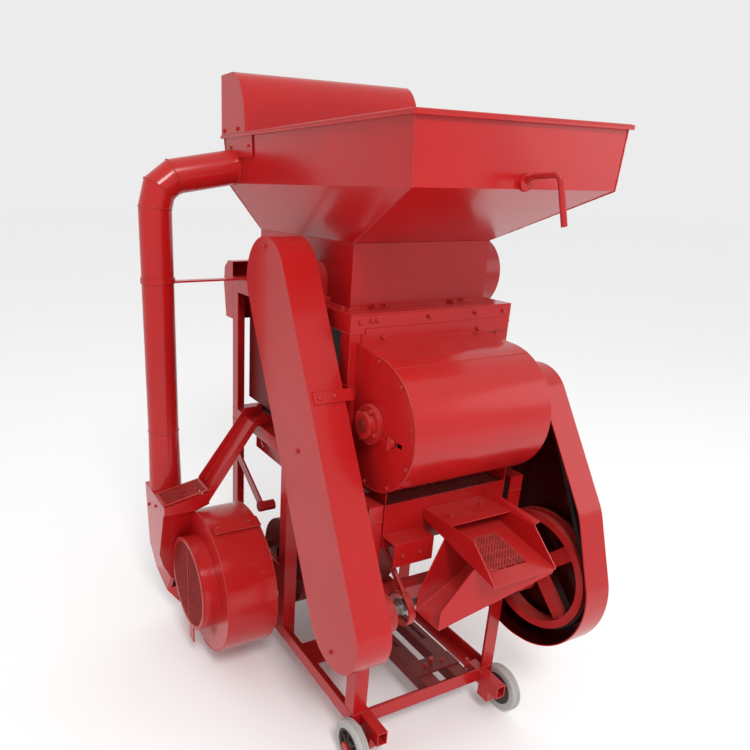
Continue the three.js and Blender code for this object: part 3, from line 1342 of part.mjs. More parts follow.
// Hopper: straight upper walls and sloping lower ones, with a folded lip
function hopperRing(halfX, y0, y1, z, less) {
  return [
    [-halfX + less, y0 + less, z],
    [halfX - less, y0 + less, z],
    [halfX - less, y1 - less, z],
    [-halfX + less, y1 - less, z],
  ];
}
function hopperSolid(less, extend) {
  const rings = [
    hopperRing(neckHalfWidth, neckFrontY, neckBackY, hopperLowZ, less),
    hopperRing(beltHalfWidth, hopperFrontY, hopperBackLowY, beltZ, less),
    hopperRing(rimHalfWidth, hopperFrontY, hopperBackY, rimZ, less),
  ];
  if (extend > 0) {
    rings.unshift(rings[0].map(([x, y, z]) => [x, y, z - extend]));
    rings.push(rings[rings.length - 1].map(([x, y, z]) => [x, y, z + extend]));
  }
  return loft(rings);
}
const lipBox = box(-rimHalfWidth - rimLip, rimHalfWidth + rimLip, hopperFrontY - rimLip, hopperBackY + rimLip,
  rimZ - rimLipHeight, rimZ);
const frontSlope = Math.atan2(slopeRise, neckFrontY - hopperFrontY);
const rodUp = (gateRodRadius + gateThickness + running - weld) / Math.cos(frontSlope);
const slopeZ = (y) => beltZ - ((y - hopperFrontY) * slopeRise) / (neckFrontY - hopperFrontY)
  + neckWall / Math.cos(frontSlope);
const rodZ = (y) => slopeZ(y) + rodUp;
const rodPoint = (y) => [gateRodX, y, rodZ(y)];
const rodHole = barBetween(gateRodRadius + running, rodPoint(hopperFrontY - angleLeg),
  rodPoint(hopperFrontY + angleLeg));
const pipeHole = barX(pipeRadius - pipeWall, -rimHalfWidth - overrun, armEndX, armY, armZ);
const rodBoss = barY(bossRadius, hopperFrontY - bossLength, hopperFrontY + neckWall / 2, gateRodX,
  rodZ(hopperFrontY));
const hopperShell = union([hopperSolid(0, 0), lipBox, rodBoss]);
add('hopper', cut(hopperShell, [hopperSolid(neckWall, overrun), rodHole, pipeHole]), red);
add('lift_pipe', cut(loft(pipeRings(0, 0)), [loft(pipeRings(pipeWall, overrun)),
  hopperSolid(-seat, overrun)]), red);

// Hood: flat top and a curved front over the hopper's back, with end plates that lap the rim
const hoodBottom = rimZ + seat;
const hoodTop = hoodBottom + hoodRise;
function hoodOutline(less) {
  const back = hopperBackY - less;
  const curve = Array.from({ length: fewestSides + 1 }, (_, i) => {
    const turn = (Math.PI / 2) * (i / fewestSides);
    return [hopperBackY - hoodFlat - (hoodRun - less) * Math.sin(turn),
      hoodBottom - less * 2 + (hoodRise + less) * Math.cos(turn)];
  });
  const foot = less ? [[hopperBackY - hoodFlat - hoodRun + less, hoodBottom - overrun]] : [];
  return [[back, hoodBottom - (less ? overrun : 0)], [back, hoodTop - less], ...curve, ...foot];
}
const hoodHalf = rimHalfWidth + rimLip;
add('hood', cut(plateX(hoodOutline(0), -hoodHalf, hoodHalf), [
  plateX(hoodOutline(sheet), -hoodHalf + sheet, hoodHalf - sheet),
]), red);

// Gate plate on the hopper's front slope with its bent pull rod
const gateBackY = neckFrontY + gatePastNeck;
const gateFrontY = gateBackY - gateLength * Math.cos(frontSlope);
const gateLift = running / Math.cos(frontSlope);
const gateTop = gateLift + gateThickness / Math.cos(frontSlope);
const gateOutline = [
  [gateBackY, slopeZ(gateBackY) + gateLift],
  [gateBackY, slopeZ(gateBackY) + gateTop],
  [gateFrontY, slopeZ(gateFrontY) + gateTop],
  [gateFrontY, slopeZ(gateFrontY) + gateLift],
];
const rodStart = rodPoint((gateBackY + gateFrontY) / 2);
const rodBend = rodPoint(hopperFrontY - gateRodStraight);
const rodTip = [gateRodX, hopperFrontY - gateRodOut, rodBend[2] + gateRodRadius / 2];
const handleEnd = [gateRodX + gateHandleLean, rodTip[1] - gateRodRadius, rodTip[2] - gateHandleDrop];
const gate = union([
  plateX(gateOutline, -gateWidth / 2, gateWidth / 2),
  barBetween(gateRodRadius, rodStart, rodBend),
  barBetween(gateRodRadius, rodBend, rodTip),
  barBetween(gateRodRadius, rodTip, handleEnd),
]);
add('feed_gate', gate, castRed);

// Return chute from the deck's left side down to the inlet box
const returnFront = inletFrontY + seat;
const returnBack = inletBackY - seat;
const channelRing = (x, z, height) => [
  [x, returnFront, z + height],
  [x, returnFront, z],
  [x, returnBack, z],
  [x, returnBack, z + height],
  [x, returnBack - sheet, z + height],
  [x, returnBack - sheet, z + sheet],
  [x, returnFront + sheet, z + sheet],
  [x, returnFront + sheet, z + height],
];
const returnLow = ductTopZ - inletRise / 2 + ductSheet * 3;
add('return_chute', loft([
  channelRing(inletRightX + seat, returnLow, returnFootHeight),
  channelRing(-frameSide - returnLip, tableTop + seat, returnWallHeight),
  channelRing(-deckHalfWidth - sheet, tableTop + seat, returnWallHeight),
], channelCap), red);

// Cover on the frame's back, round at its top
const rearFront = frameDepth + seat;
const rearOutline = (less) => {
  const top = frameHeight + rearCoverRise - less;
  const low = frameHeight - rearCoverDrop + less;
  const front = less ? rearFront - overrun : rearFront;
  const [browOut, browUp] = rearBrowShares;
  return [[front, low], [rearFront + rearCoverDepth * rearLowShare - less, low],
    [rearFront + rearCoverDepth - less, frameHeight - rearCoverDrop * rearKneeShare],
    [rearFront + rearCoverDepth * browOut - less, frameHeight + rearCoverRise * browUp],
    [rearFront + rearCoverDepth * rearTopShare, top], [front, top]];
};
add('rear_cover', cut(plateX(rearOutline(0), -frameSide, frameSide), [
  plateX(rearOutline(sheet), -frameSide + sheet, frameSide - sheet),
]), red);

// The row's origin is the bottom centre of everything
group.updateMatrixWorld(true);
const bounds = new THREE.Box3().setFromObject(group);
const centre = bounds.getCenter(new THREE.Vector3());
group.children.forEach((mesh) => {
  mesh.geometry.translate(-centre.x, -centre.y, -bounds.min.z);
});

export default group;
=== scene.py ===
# %% [markdown]
# # A peanut sheller, dressed
# The machine is a small farm sheller: a tin hopper over a drum, a blower in front, a shaken deck
# below it, and a second fan that blows the nuts still in their shells back up a round pipe.
# The solids are ready made and fixed. This lesson gives them smooth skins, paint, bolts, welds,
# seams and rolled edges. Everything is in metres, in the frame of the solids.

# %% Load the fixed solids
import json
import math

import bmesh
import bpy
from mathutils import Matrix, Vector
from mathutils.bvhtree import BVHTree


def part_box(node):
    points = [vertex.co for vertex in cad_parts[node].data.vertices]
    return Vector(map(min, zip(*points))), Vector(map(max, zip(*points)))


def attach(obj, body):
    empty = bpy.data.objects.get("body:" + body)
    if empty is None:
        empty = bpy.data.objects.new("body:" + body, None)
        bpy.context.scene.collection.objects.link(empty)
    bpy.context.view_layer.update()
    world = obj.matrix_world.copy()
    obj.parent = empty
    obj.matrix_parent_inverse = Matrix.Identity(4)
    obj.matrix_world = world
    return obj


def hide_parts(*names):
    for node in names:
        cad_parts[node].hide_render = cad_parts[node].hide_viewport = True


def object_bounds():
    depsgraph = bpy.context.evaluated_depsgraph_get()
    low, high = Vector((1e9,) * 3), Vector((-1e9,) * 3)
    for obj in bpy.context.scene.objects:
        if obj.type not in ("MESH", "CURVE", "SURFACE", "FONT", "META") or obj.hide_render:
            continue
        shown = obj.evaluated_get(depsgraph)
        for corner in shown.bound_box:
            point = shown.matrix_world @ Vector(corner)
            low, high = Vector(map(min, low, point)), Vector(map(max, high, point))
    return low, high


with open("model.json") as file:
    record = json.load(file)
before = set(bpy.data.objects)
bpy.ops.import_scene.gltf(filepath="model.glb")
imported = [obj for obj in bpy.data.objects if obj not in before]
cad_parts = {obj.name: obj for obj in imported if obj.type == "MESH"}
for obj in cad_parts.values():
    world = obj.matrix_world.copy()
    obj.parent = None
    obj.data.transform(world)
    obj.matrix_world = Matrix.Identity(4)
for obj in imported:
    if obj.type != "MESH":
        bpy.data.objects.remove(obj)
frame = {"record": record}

cad_low, cad_high = [tuple(corner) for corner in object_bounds()]
bodies = frame["record"]["behaviour"]["bodies"]
body_of_node = {node: body for body, nodes in bodies.items() for node in nodes}
print("solids:", len(body_of_node), "bodies:", len(bodies))

# %% [markdown]
# The sizes in this lesson are millimetres on the machine's own frame: x from its middle to the
# right, y from its front to the back, z up from the floor. The upper frame's lowest corner is a
# point that both sets of numbers know, so one small function turns ours into the frame's metres.

# %% Machine millimetres to metres in the frame
MM = 0.001
FRAME_CORNER = Vector(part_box("upper_frame")[0])
CORNER_MM = Vector((-235.0, 0.0, 720.3))


def place(x, y, z):
    return FRAME_CORNER + (Vector((x, y, z)) - CORNER_MM) / 1000.0


print("machine origin at", [round(v, 4) for v in place(0, 0, 0)])

# %% [markdown]
# Two steps come again and again: a mesh is made from points, and data enters the scene as an
# object. Each gets a helper.

# %% New meshes and new objects
def new_mesh(name, points, faces=(), edges=()):
    mesh = bpy.data.meshes.new(name)
    mesh.from_pydata(points, edges, faces)
    return mesh


def in_scene(name, data):
    made = bpy.data.objects.new(name, data)
    bpy.context.scene.collection.objects.link(made)
    return made


# %% [markdown]
# The picture was taken from the front left corner, from a little above the hopper's height. The
# lens looks down by twenty degrees, and its frame is shifted because the machine stands left of
# the middle. A camera in Blender looks along its own -Z, so the three columns of its matrix are
# right, up and backwards.

# %% The camera at the picture's viewpoint
YAW, PITCH, ROLL = (math.radians(angle) for angle in (26.04, 19.92, -1.11))
VIEWPOINT = (-1028.6, -1221.2, 1406.2)
PICTURE, FOCAL, SENSOR = 750.0, 659.0, 36.0
AXIS_X, AXIS_Y = 269.0, 423.0
ahead = Vector((math.sin(YAW) * math.cos(PITCH), math.cos(YAW) * math.cos(PITCH),
                -math.sin(PITCH)))
level_right = Vector((math.cos(YAW), -math.sin(YAW), 0.0))
level_down = ahead.cross(level_right)
right = math.cos(ROLL) * level_right + math.sin(ROLL) * level_down
down = -math.sin(ROLL) * level_right + math.cos(ROLL) * level_down

camera_data = bpy.data.cameras.new("viewpoint")
camera_data.sensor_width = SENSOR
camera_data.lens = FOCAL / PICTURE * SENSOR
camera_data.shift_x = (PICTURE / 2 - AXIS_X) / PICTURE
camera_data.shift_y = (AXIS_Y - PICTURE / 2) / PICTURE
camera_data.clip_start = 0.05
camera_data.clip_end = 60.0
camera = in_scene("viewpoint", camera_data)
camera_matrix = Matrix((right, -down, -ahead)).transposed().to_4x4()
camera_matrix.translation = place(*VIEWPOINT)
camera.matrix_world = camera_matrix
bpy.context.scene.camera = camera
print("camera at", [round(v, 3) for v in camera_matrix.translation])

# %% [markdown]
# Nodes are made by one helper, for light, paint and shapes alike. It sets a node's options and
# then fills its inputs: what comes out of another node is linked, and the rest are plain values.

# %% A helper for nodes
def fill(tree, made, inputs):
    for key, value in inputs.items():
        if isinstance(value, bpy.types.NodeSocket):
            tree.links.new(value, made.inputs[key])
        else:
            made.inputs[key].default_value = value
    return made


def node(tree, kind, inputs=None, **settings):
    made = tree.nodes.new(kind)
    for key, value in settings.items():
        setattr(made, key, value)
    return fill(tree, made, inputs or {})


def calc(tree, operation, *values):
    made = node(tree, "ShaderNodeMath", dict(enumerate(values)), operation=operation)
    return made.outputs["Value"]


# %% [markdown]
# The machine stands on a plain pale floor in even daylight. A bright dome gives the soft light,
# one large lamp from the front left makes the long highlights on the enamel, and a weaker one on
# the right lifts the belt guard. What the camera itself sees of the dome has a strength of its
# own, so the backdrop can be set without changing the light.

# %% Floor, dome and lamps
FLOOR_REACH = 40
FLOOR_GAP = 0.0005
WHITE = (1.0, 1.0, 1.0, 1)
floor_corners = [(x * FLOOR_REACH, y * FLOOR_REACH, 0)
                 for x, y in ((-1, -1), (1, -1), (1, 1), (-1, 1))]
floor = in_scene("floor", new_mesh("floor", floor_corners, [(0, 1, 2, 3)]))
floor.location = (0, 0, cad_low[2] - FLOOR_GAP)
floor_paint = bpy.data.materials.new("pale_floor")
floor_paint.use_nodes = True
fill(floor_paint.node_tree, floor_paint.node_tree.nodes["Principled BSDF"],
     {"Base Color": (0.97, 0.97, 0.97, 1), "Roughness": 0.85})
floor.data.materials.append(floor_paint)

dome = bpy.data.worlds.new("dome")
dome.use_nodes = True
sky = dome.node_tree
daylight = fill(sky, sky.nodes["Background"], {"Color": WHITE, "Strength": 0.86})
backdrop = node(sky, "ShaderNodeBackground", {"Color": WHITE, "Strength": 0.84})
seen = node(sky, "ShaderNodeLightPath")
choose = node(sky, "ShaderNodeMixShader", {
    0: seen.outputs["Is Camera Ray"], 1: daylight.outputs[0], 2: backdrop.outputs[0]})
fill(sky, sky.nodes["World Output"], {"Surface": choose.outputs[0]})
bpy.context.scene.world = dome

for name, at, towards, size, watts in (("key_lamp", (-1.2, -3.2, 4.2), (0, 0, 0.9), 1.3, 110),
                                       ("side_lamp", (3.4, -2.4, 2.2), (0, 0, 0.8), 2.2, 16)):
    lamp_data = bpy.data.lights.new(name, "AREA")
    lamp_data.shape = "DISK"
    lamp_data.size = size
    lamp_data.energy = watts
    lamp = in_scene(name, lamp_data)
    lamp.location = at
    lamp.rotation_euler = (Vector(towards) - Vector(at)).to_track_quat("-Z", "Y").to_euler()
bpy.context.scene.view_settings.view_transform = "Standard"
print("stage ready")

# %% [markdown]
# ## Paint and metal
# Every finish here has the same three effects at different strengths: patches of slightly
# different colour, a skin that isn't quite flat, and dust that settles on what faces up. Each
# effect is a node group, built once. A group takes the point on the object and puts out a
# colour, a value or a normal, and the shader stays in the material.

# %% Helpers that open a node group and mix two colours
VECTOR, COLOUR, NUMBER = "NodeSocketVector", "NodeSocketColor", "NodeSocketFloat"


def add_inputs(group, inputs):
    for socket_name, kind, value in inputs:
        socket = group.interface.new_socket(socket_name, in_out="INPUT", socket_type=kind)
        if value is not None:
            socket.default_value = value


def open_group(group):
    return group, group.nodes.new("NodeGroupInput").outputs, group.nodes.new("NodeGroupOutput")


def node_group(name, inputs, outputs):
    group = bpy.data.node_groups.new(name, "ShaderNodeTree")
    add_inputs(group, inputs)
    for socket_name, kind in outputs:
        group.interface.new_socket(socket_name, in_out="OUTPUT", socket_type=kind)
    return open_group(group)


def colour_mix(tree, share, first, second):
    mix = node(tree, "ShaderNodeMix", {0: share, 6: first, 7: second}, data_type="RGBA")
    return mix.outputs[2]


def share_above(tree, value, low, high, amount):
    ramp = node(tree, "ShaderNodeMapRange", {"Value": value, "From Min": low, "From Max": high})
    return calc(tree, "MULTIPLY", ramp.outputs["Result"], amount)


# %% [markdown]
# The enamel was sprayed by hand, so it is a little darker in patches and a little browner where
# the coat is thin. A noise with large patches gives that, and a fine one makes speckles of grime.

# %% Patchy coat: base colour, thin-coat colour and grime
patchy, given, result = node_group("patchy coat", [
    ("Point", VECTOR, None), ("Colour", COLOUR, (0.6, 0.02, 0.02, 1)),
    ("Thin colour", COLOUR, (0.3, 0.01, 0.01, 1)), ("Thin amount", NUMBER, 0.35),
    ("Patch scale", NUMBER, 5.0), ("Grime colour", COLOUR, (0.09, 0.03, 0.02, 1)),
    ("Grime amount", NUMBER, 0.25)], [("Colour", COLOUR)])
patches = node(patchy, "ShaderNodeTexNoise", {
    "Vector": given["Point"], "Scale": given["Patch scale"], "Detail": 3.0})
thin_share = share_above(patchy, patches.outputs["Fac"], 0.42, 0.72, given["Thin amount"])
specks = node(patchy, "ShaderNodeTexNoise", {
    "Vector": given["Point"], "Scale": 46.0, "Detail": 6.0, "Roughness": 0.7})
grime_share = share_above(patchy, specks.outputs["Fac"], 0.58, 0.74, given["Grime amount"])
thinned = colour_mix(patchy, thin_share, given["Colour"], given["Thin colour"])
fill(patchy, result, {"Colour": colour_mix(patchy, grime_share, thinned, given["Grime colour"])})
print("group:", patchy.name)

# %% [markdown]
# Thin sheet never lies flat: it bulges between its folds, and the gloss shows it as wavy
# highlights. On top of that the paint has an orange-peel skin. Both are heights for one bump.

# %% Uneven skin: long waves and orange peel as one normal
uneven, given, result = node_group("uneven skin", [
    ("Point", VECTOR, None), ("Wave scale", NUMBER, 4.0), ("Wave height", NUMBER, 0.6),
    ("Peel scale", NUMBER, 220.0), ("Peel height", NUMBER, 0.05), ("Strength", NUMBER, 0.35)],
    [("Normal", VECTOR)])
waves, peel = (node(uneven, "ShaderNodeTexNoise", {
    "Vector": given["Point"], "Scale": given[scale], "Detail": detail})
    for scale, detail in (("Wave scale", 1.0), ("Peel scale", 2.0)))
wave_height = calc(uneven, "MULTIPLY", waves.outputs["Fac"], given["Wave height"])
skin_height = calc(uneven, "MULTIPLY_ADD", peel.outputs["Fac"], given["Peel height"], wave_height)
skin = node(uneven, "ShaderNodeBump", {
    "Height": skin_height, "Strength": given["Strength"], "Distance": 0.01})
fill(uneven, result, {"Normal": skin.outputs["Normal"]})
print("group:", uneven.name)

# %% [markdown]
# Dust lies where a face looks up. Its mask is the upward part of the normal, broken up by a
# noise, and it lightens the colour and dulls the gloss.

# %% Settled dust: a dusted colour and a dulled gloss
settled, given, result = node_group("settled dust", [
    ("Point", VECTOR, None), ("Colour", COLOUR, (0.5, 0.5, 0.5, 1)),
    ("Dust colour", COLOUR, (0.45, 0.33, 0.25, 1)), ("Amount", NUMBER, 0.2),
    ("Clean roughness", NUMBER, 0.25), ("Dusty roughness", NUMBER, 0.6)],
    [("Colour", COLOUR), ("Roughness", NUMBER)])
surface = node(settled, "ShaderNodeNewGeometry")
split = node(settled, "ShaderNodeSeparateXYZ", {"Vector": surface.outputs["Normal"]})
drift = node(settled, "ShaderNodeTexNoise", {
    "Vector": given["Point"], "Scale": 17.0, "Detail": 5.0})
drifted = share_above(settled, split.outputs["Z"], 0.35, 1.0, drift.outputs["Fac"])
dust_share = calc(settled, "MULTIPLY", drifted, given["Amount"])
dull = node(settled, "ShaderNodeMix", {
    0: dust_share, 2: given["Clean roughness"], 3: given["Dusty roughness"]}, data_type="FLOAT")
fill(settled, result, {
    "Colour": colour_mix(settled, dust_share, given["Colour"], given["Dust colour"]),
    "Roughness": dull.outputs[0]})
print("group:", settled.name)

# %% [markdown]
# One function now makes every finish of the machine. What changes is only the numbers: glossy
# enamel has a clear coat and long waves, castings have a coarse skin, steel is metallic with
# fine scratches, and rubber is dull.

# %% Finishes of this machine
# INSIDE_SHADE scales the thin-coat colour down to the painted shade on the inner faces of shells.
THIN_AMOUNT, DUSTY_ROUGHNESS, INSIDE_SHADE = 0.3, 0.6, 0.12
SPECULAR, COAT_ROUGHNESS = 0.3, 0.06


def finish(name, colour, thin, roughness, metallic=0.0, coat=0.0, patch_scale=5.0, grime=0.2,
           wave=(4.0, 0.6), peel=(220.0, 0.05), bump=0.3, dust=0.2):
    paint = bpy.data.materials.new(name)
    paint.use_nodes = True
    tree = paint.node_tree
    point = node(tree, "ShaderNodeTexCoord").outputs["Object"]
    coated = node(tree, "ShaderNodeGroup", {
        "Point": point, "Colour": (*colour, 1), "Thin colour": (*thin, 1),
        "Thin amount": THIN_AMOUNT, "Patch scale": patch_scale, "Grime amount": grime},
        node_tree=patchy)
    dusted = node(tree, "ShaderNodeGroup", {
        "Point": point, "Colour": coated.outputs["Colour"], "Amount": dust,
        "Clean roughness": roughness, "Dusty roughness": DUSTY_ROUGHNESS}, node_tree=settled)
    skinned = node(tree, "ShaderNodeGroup", {
        "Point": point, "Wave scale": wave[0], "Wave height": wave[1], "Peel scale": peel[0],
        "Peel height": peel[1], "Strength": bump}, node_tree=uneven)
    # Faces marked "inside" take a painted shade: the thin-coat colour scaled by INSIDE_SHADE, near
    # black.
    inner = node(tree, "ShaderNodeAttribute", attribute_name="inside")
    shade = (*(INSIDE_SHADE * value for value in thin), 1)
    fill(tree, tree.nodes["Principled BSDF"], {
        "Base Color": colour_mix(tree, inner.outputs["Fac"], dusted.outputs["Colour"], shade),
        "Roughness": dusted.outputs["Roughness"], "Normal": skinned.outputs["Normal"],
        "Metallic": metallic, "Coat Weight": coat, "Coat Roughness": COAT_ROUGHNESS,
        "Specular IOR Level": SPECULAR})
    return paint


finish_values = {
    "red_enamel": dict(colour=(0.43, 0.008, 0.009), thin=(0.29, 0.006, 0.006), roughness=0.23,
                       coat=0.14, grime=0.16, dust=0.06),
    "shaded_red": dict(colour=(0.16, 0.006, 0.006), thin=(0.08, 0.004, 0.004), roughness=0.45,
                       grime=0.3, dust=0.06),
    "red_casting": dict(colour=(0.42, 0.011, 0.011), thin=(0.20, 0.007, 0.007), roughness=0.40,
                        coat=0.15, patch_scale=14.0, wave=(60.0, 0.12), peel=(160.0, 0.10),
                        bump=0.6),
    "bare_steel": dict(colour=(0.42, 0.40, 0.38), thin=(0.20, 0.15, 0.11), roughness=0.36,
                       metallic=0.9, patch_scale=22.0, grime=0.35, wave=(90.0, 0.02),
                       peel=(400.0, 0.03), bump=0.4),
    "dark_steel": dict(colour=(0.060, 0.050, 0.046), thin=(0.11, 0.05, 0.03), roughness=0.52,
                       metallic=0.6, patch_scale=16.0, grime=0.3, wave=(40.0, 0.06),
                       peel=(300.0, 0.05), bump=0.5),
    "belt_rubber": dict(colour=(0.014, 0.013, 0.014), thin=(0.03, 0.028, 0.026), roughness=0.68,
                        patch_scale=20.0, grime=0.1, wave=(80.0, 0.04), peel=(350.0, 0.06),
                        bump=0.5, dust=0.3),
    "grey_tyre": dict(colour=(0.42, 0.42, 0.41), thin=(0.27, 0.26, 0.24), roughness=0.72,
                      patch_scale=30.0, grime=0.35, wave=(60.0, 0.04), peel=(260.0, 0.06),
                      bump=0.4, dust=0.35),
}
finish_of_slot = {slot: finish(slot, **values) for slot, values in finish_values.items()}
print("finishes:", len(finish_of_slot))

# %% [markdown]
# ## Skins over the solids
# The solids are made of flat facets. A copy of a solid's mesh, merged, with its flat faces joined
# and its corners slightly rounded, looks like folded and rolled sheet. The weighted normals keep
# the large flats flat. The copy replaces the solid and rides on the same body.

# %% Helpers that keep a finished mesh
slot_of_node = {entry["node"]: entry["material_slot"] for entry in frame["record"]["subparts"]}
MERGE = 2e-5


def keep_mesh(name, mesh, body, slot_name, replaced=()):
    made = in_scene(name, mesh)
    mesh.materials.clear()
    mesh.materials.append(finish_of_slot[slot_name])
    for polygon in mesh.polygons:
        polygon.material_index = 0
    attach(made, body)
    if replaced:
        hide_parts(*replaced)
    return made


def baked(source):
    bpy.context.view_layer.update()
    graph = bpy.context.evaluated_depsgraph_get()
    mesh = bpy.data.meshes.new_from_object(source.evaluated_get(graph))
    bpy.data.objects.remove(source, do_unlink=True)
    return mesh


def opened(*meshes):
    work = bmesh.new()
    for mesh in meshes:
        work.from_mesh(mesh)
    return work


def closed_up(work, mesh):
    work.to_mesh(mesh)
    work.free()
    return mesh


def smoothed(mesh, sharp=None):
    for polygon in mesh.polygons:
        polygon.use_smooth = True
    if sharp is not None:
        mesh.set_sharp_from_angle(angle=math.radians(sharp))
    return mesh


# %% [markdown]
# The solids draw a circle with two dozen straight sides. Where a piece is round about a shaft, an
# edge that joins two points at the same distance from the shaft is a side of such a circle. It is
# cut in four, and the new points are pushed out to the true radius. Edges that are very short or
# very long for their radius are something else and are left alone.

# %% True circles about the shafts
DRUM_SHAFT = (213.0, 1188.3)
JACKSHAFT = (-171.0, 465.0)
BLOWER_SHAFT = (-78.0, 907.0)
FAN_SHAFT = (410.0, 272.0)
CUTS = 3
SAME_PLACE, SAME_PLANE, ON_CHORD = 6e-5, 1e-5, 2e-7
LEAST_RADIUS, LEAST_SIDE, MOST_SIDE = 0.006, 0.08, 0.85


def from_axis(point, centre):
    return math.hypot(point.y - centre.y, point.z - centre.z)


def round_about(work, shafts):
    for y, z in shafts:
        centre = place(0, y, z)
        sides = []
        chords = []
        for edge in work.edges:
            first, second = (vert.co for vert in edge.verts)
            radius = from_axis(first, centre)
            same = (abs(from_axis(second, centre) - radius) < SAME_PLACE
                    and abs(first.x - second.x) < SAME_PLACE)
            fits = LEAST_SIDE * radius < edge.calc_length() < MOST_SIDE * radius
            if same and radius > LEAST_RADIUS and fits:
                sides.append(edge)
                chords.append((first.copy(), second.copy(), radius))
        before = set(work.verts)
        bmesh.ops.subdivide_edges(work, edges=sides, cuts=CUTS, use_grid_fill=True)
        for vert in [vert for vert in work.verts if vert not in before]:
            for start, end, radius in chords:
                if abs(start.x - vert.co.x) > SAME_PLANE:
                    continue
                detour = (vert.co - start).length + (vert.co - end).length - (end - start).length
                if detour < ON_CHORD:
                    grow = radius / from_axis(vert.co, centre)
                    vert.co.y = centre.y + (vert.co.y - centre.y) * grow
                    vert.co.z = centre.z + (vert.co.z - centre.z) * grow
                    break


# %% [markdown]
# Little light gets inside a guard or a fan, so their inner faces get a painted shade. A shell's
# faces that look at its own middle line get the number 1 under the name "inside", all others 0.
# Every finish darkens by it, to a painted shade near black. Each shell is given by its middle
# line, its two ends in x, and how far from the middle line its inner faces can be.

# %% Mark the inner faces of shells for painted shade
GUARD_TOP, GUARD_WAIST, GUARD_FOOT = (-42.0, 890.0), (-135.0, 606.44), (-155.0, 455.0)
LOOKS_IN, LOOKS_ACROSS = 0.3, 0.7
middle_of_shell = {"right_belt_guard": (GUARD_TOP, GUARD_FOOT, 250.0, 326.0, 205.0),
                   "lift_fan_housing": (FAN_SHAFT, FAN_SHAFT, -491.0, -297.0, 213.0),
                   "blower_housing": (BLOWER_SHAFT, BLOWER_SHAFT, -214.0, 166.0, 153.5)}


def mark_painted_shade(mesh, node_name):
    top, foot, x_low, x_high, reach = middle_of_shell[node_name]
    start = place(0, *top)
    along = place(0, *foot) - start
    low, high = place(x_low, 0, 0).x, place(x_high, 0, 0).x
    inside = mesh.attributes.new("inside", "FLOAT", "FACE")
    marked = 0
    for polygon in mesh.polygons:
        centre = polygon.center
        share = 0.0
        if along.length > 0:
            share = min(max((centre - start).dot(along) / along.length_squared, 0.0), 1.0)
        middle = start + share * along
        towards = Vector((0, middle.y - centre.y, middle.z - centre.z))
        across = polygon.normal.x * (1 if centre.x < (low + high) / 2 else -1)
        within = low + MM < centre.x < high - MM and towards.length < reach * MM
        looks_in = polygon.normal.dot(towards.normalized()) > LOOKS_IN
        if within and (looks_in or across > LOOKS_ACROSS):
            inside.data[polygon.index].value = 1.0
            marked += 1
    print(node_name, "inner faces:", marked)


# %% [markdown]
# Real sheet and castings have no knife edges: every corner catches a thin line of light. A bevel
# of less than a millimetre on the sharp edges gives that line. It could be modelled edge by edge,
# but a modifier with an angle limit finds the corners of all the solids by one rule.

# %% Smooth copies of the solids
CORNER, CORNER_STEPS = 0.0008, 2
CREASE, FLAT = math.radians(32.0), math.radians(0.6)


def smooth_copy(node_name, shafts):
    mesh = bpy.data.objects[node_name].data.copy()
    work = opened(mesh)
    bmesh.ops.remove_doubles(work, verts=work.verts, dist=MERGE)
    bmesh.ops.dissolve_limit(work, angle_limit=FLAT, verts=work.verts, edges=work.edges)
    round_about(work, shafts)
    smoothed(closed_up(work, mesh)).set_sharp_from_angle(angle=CREASE)
    source = in_scene("work", mesh)
    bevel = source.modifiers.new("corners", "BEVEL")
    bevel.width = CORNER
    bevel.segments = CORNER_STEPS
    bevel.limit_method = "ANGLE"
    bevel.angle_limit = CREASE
    bevel.use_clamp_overlap = True
    source.modifiers.new("flats", "WEIGHTED_NORMAL").keep_sharp = True
    made = baked(source)
    made.name = node_name + "_skin"
    if node_name in middle_of_shell:
        mark_painted_shade(made, node_name)
    return keep_mesh(node_name + "_skin", made, body_of_node[node_name], slot_of_node[node_name],
                     (node_name,))


nodes_about = [
    ([DRUM_SHAFT], ["drum_end_cover", "drum_bearing_left", "drum_bearing_right", "shelling_drum",
                    "concave_grid", "drum_pulley", "neck"]),
    ([DRUM_SHAFT, JACKSHAFT], ["left_belt_guard", "left_belt"]),
    ([JACKSHAFT], ["jack_pulley_left", "jackshaft", "jack_bearing_left", "jack_bearing_right",
                   "big_pulley", "deck_rod_left", "deck_rod_right"]),
    ([JACKSHAFT, BLOWER_SHAFT], ["right_belt"]),
    ([BLOWER_SHAFT], ["blower_pulley", "blower_housing", "blower_inlet_spider", "blower_rotor",
                      "blower_bearing_left", "blower_bearing_right"]),
    ([GUARD_TOP, GUARD_WAIST, GUARD_FOOT], ["right_belt_guard"]),
    ([FAN_SHAFT], ["lift_fan_housing", "fan_rotor", "under_deck_fan_housing",
                   "fan_bearing_left", "fan_bearing_right"]),
]
shafts_of_node = {name: shafts for shafts, names in nodes_about for name in names}
made_elsewhere = {name for name in body_of_node if name.startswith(("tyre_", "hub_"))}
made_elsewhere |= {"lift_pipe", "feed_gate", "fan_grille", "inlet_mesh"}
skins = [smooth_copy(name, shafts_of_node.get(name, ()))
         for name in sorted(set(body_of_node) - made_elsewhere)]
print("skins:", len(skins), "faces:", sum(len(skin.data.polygons) for skin in skins))

# %% [markdown]
# ## Small things that repeat
# Screws, wires and weld beads repeat by the dozen, so Geometry Nodes make them. Each tree takes
# the places or paths as a plain mesh and has named inputs for its sizes. One helper puts a tree
# on a mesh, sets the inputs by their identifiers, and turns the result into a plain mesh.

# %% Helpers for Geometry Nodes
def shape_tree(name, inputs):
    tree = bpy.data.node_groups.new(name, "GeometryNodeTree")
    add_inputs(tree, [("Geometry", "NodeSocketGeometry", None)] + inputs
               + [("Finish", "NodeSocketMaterial", None)])
    tree.interface.new_socket("Geometry", in_out="OUTPUT", socket_type="NodeSocketGeometry")
    return open_group(tree)


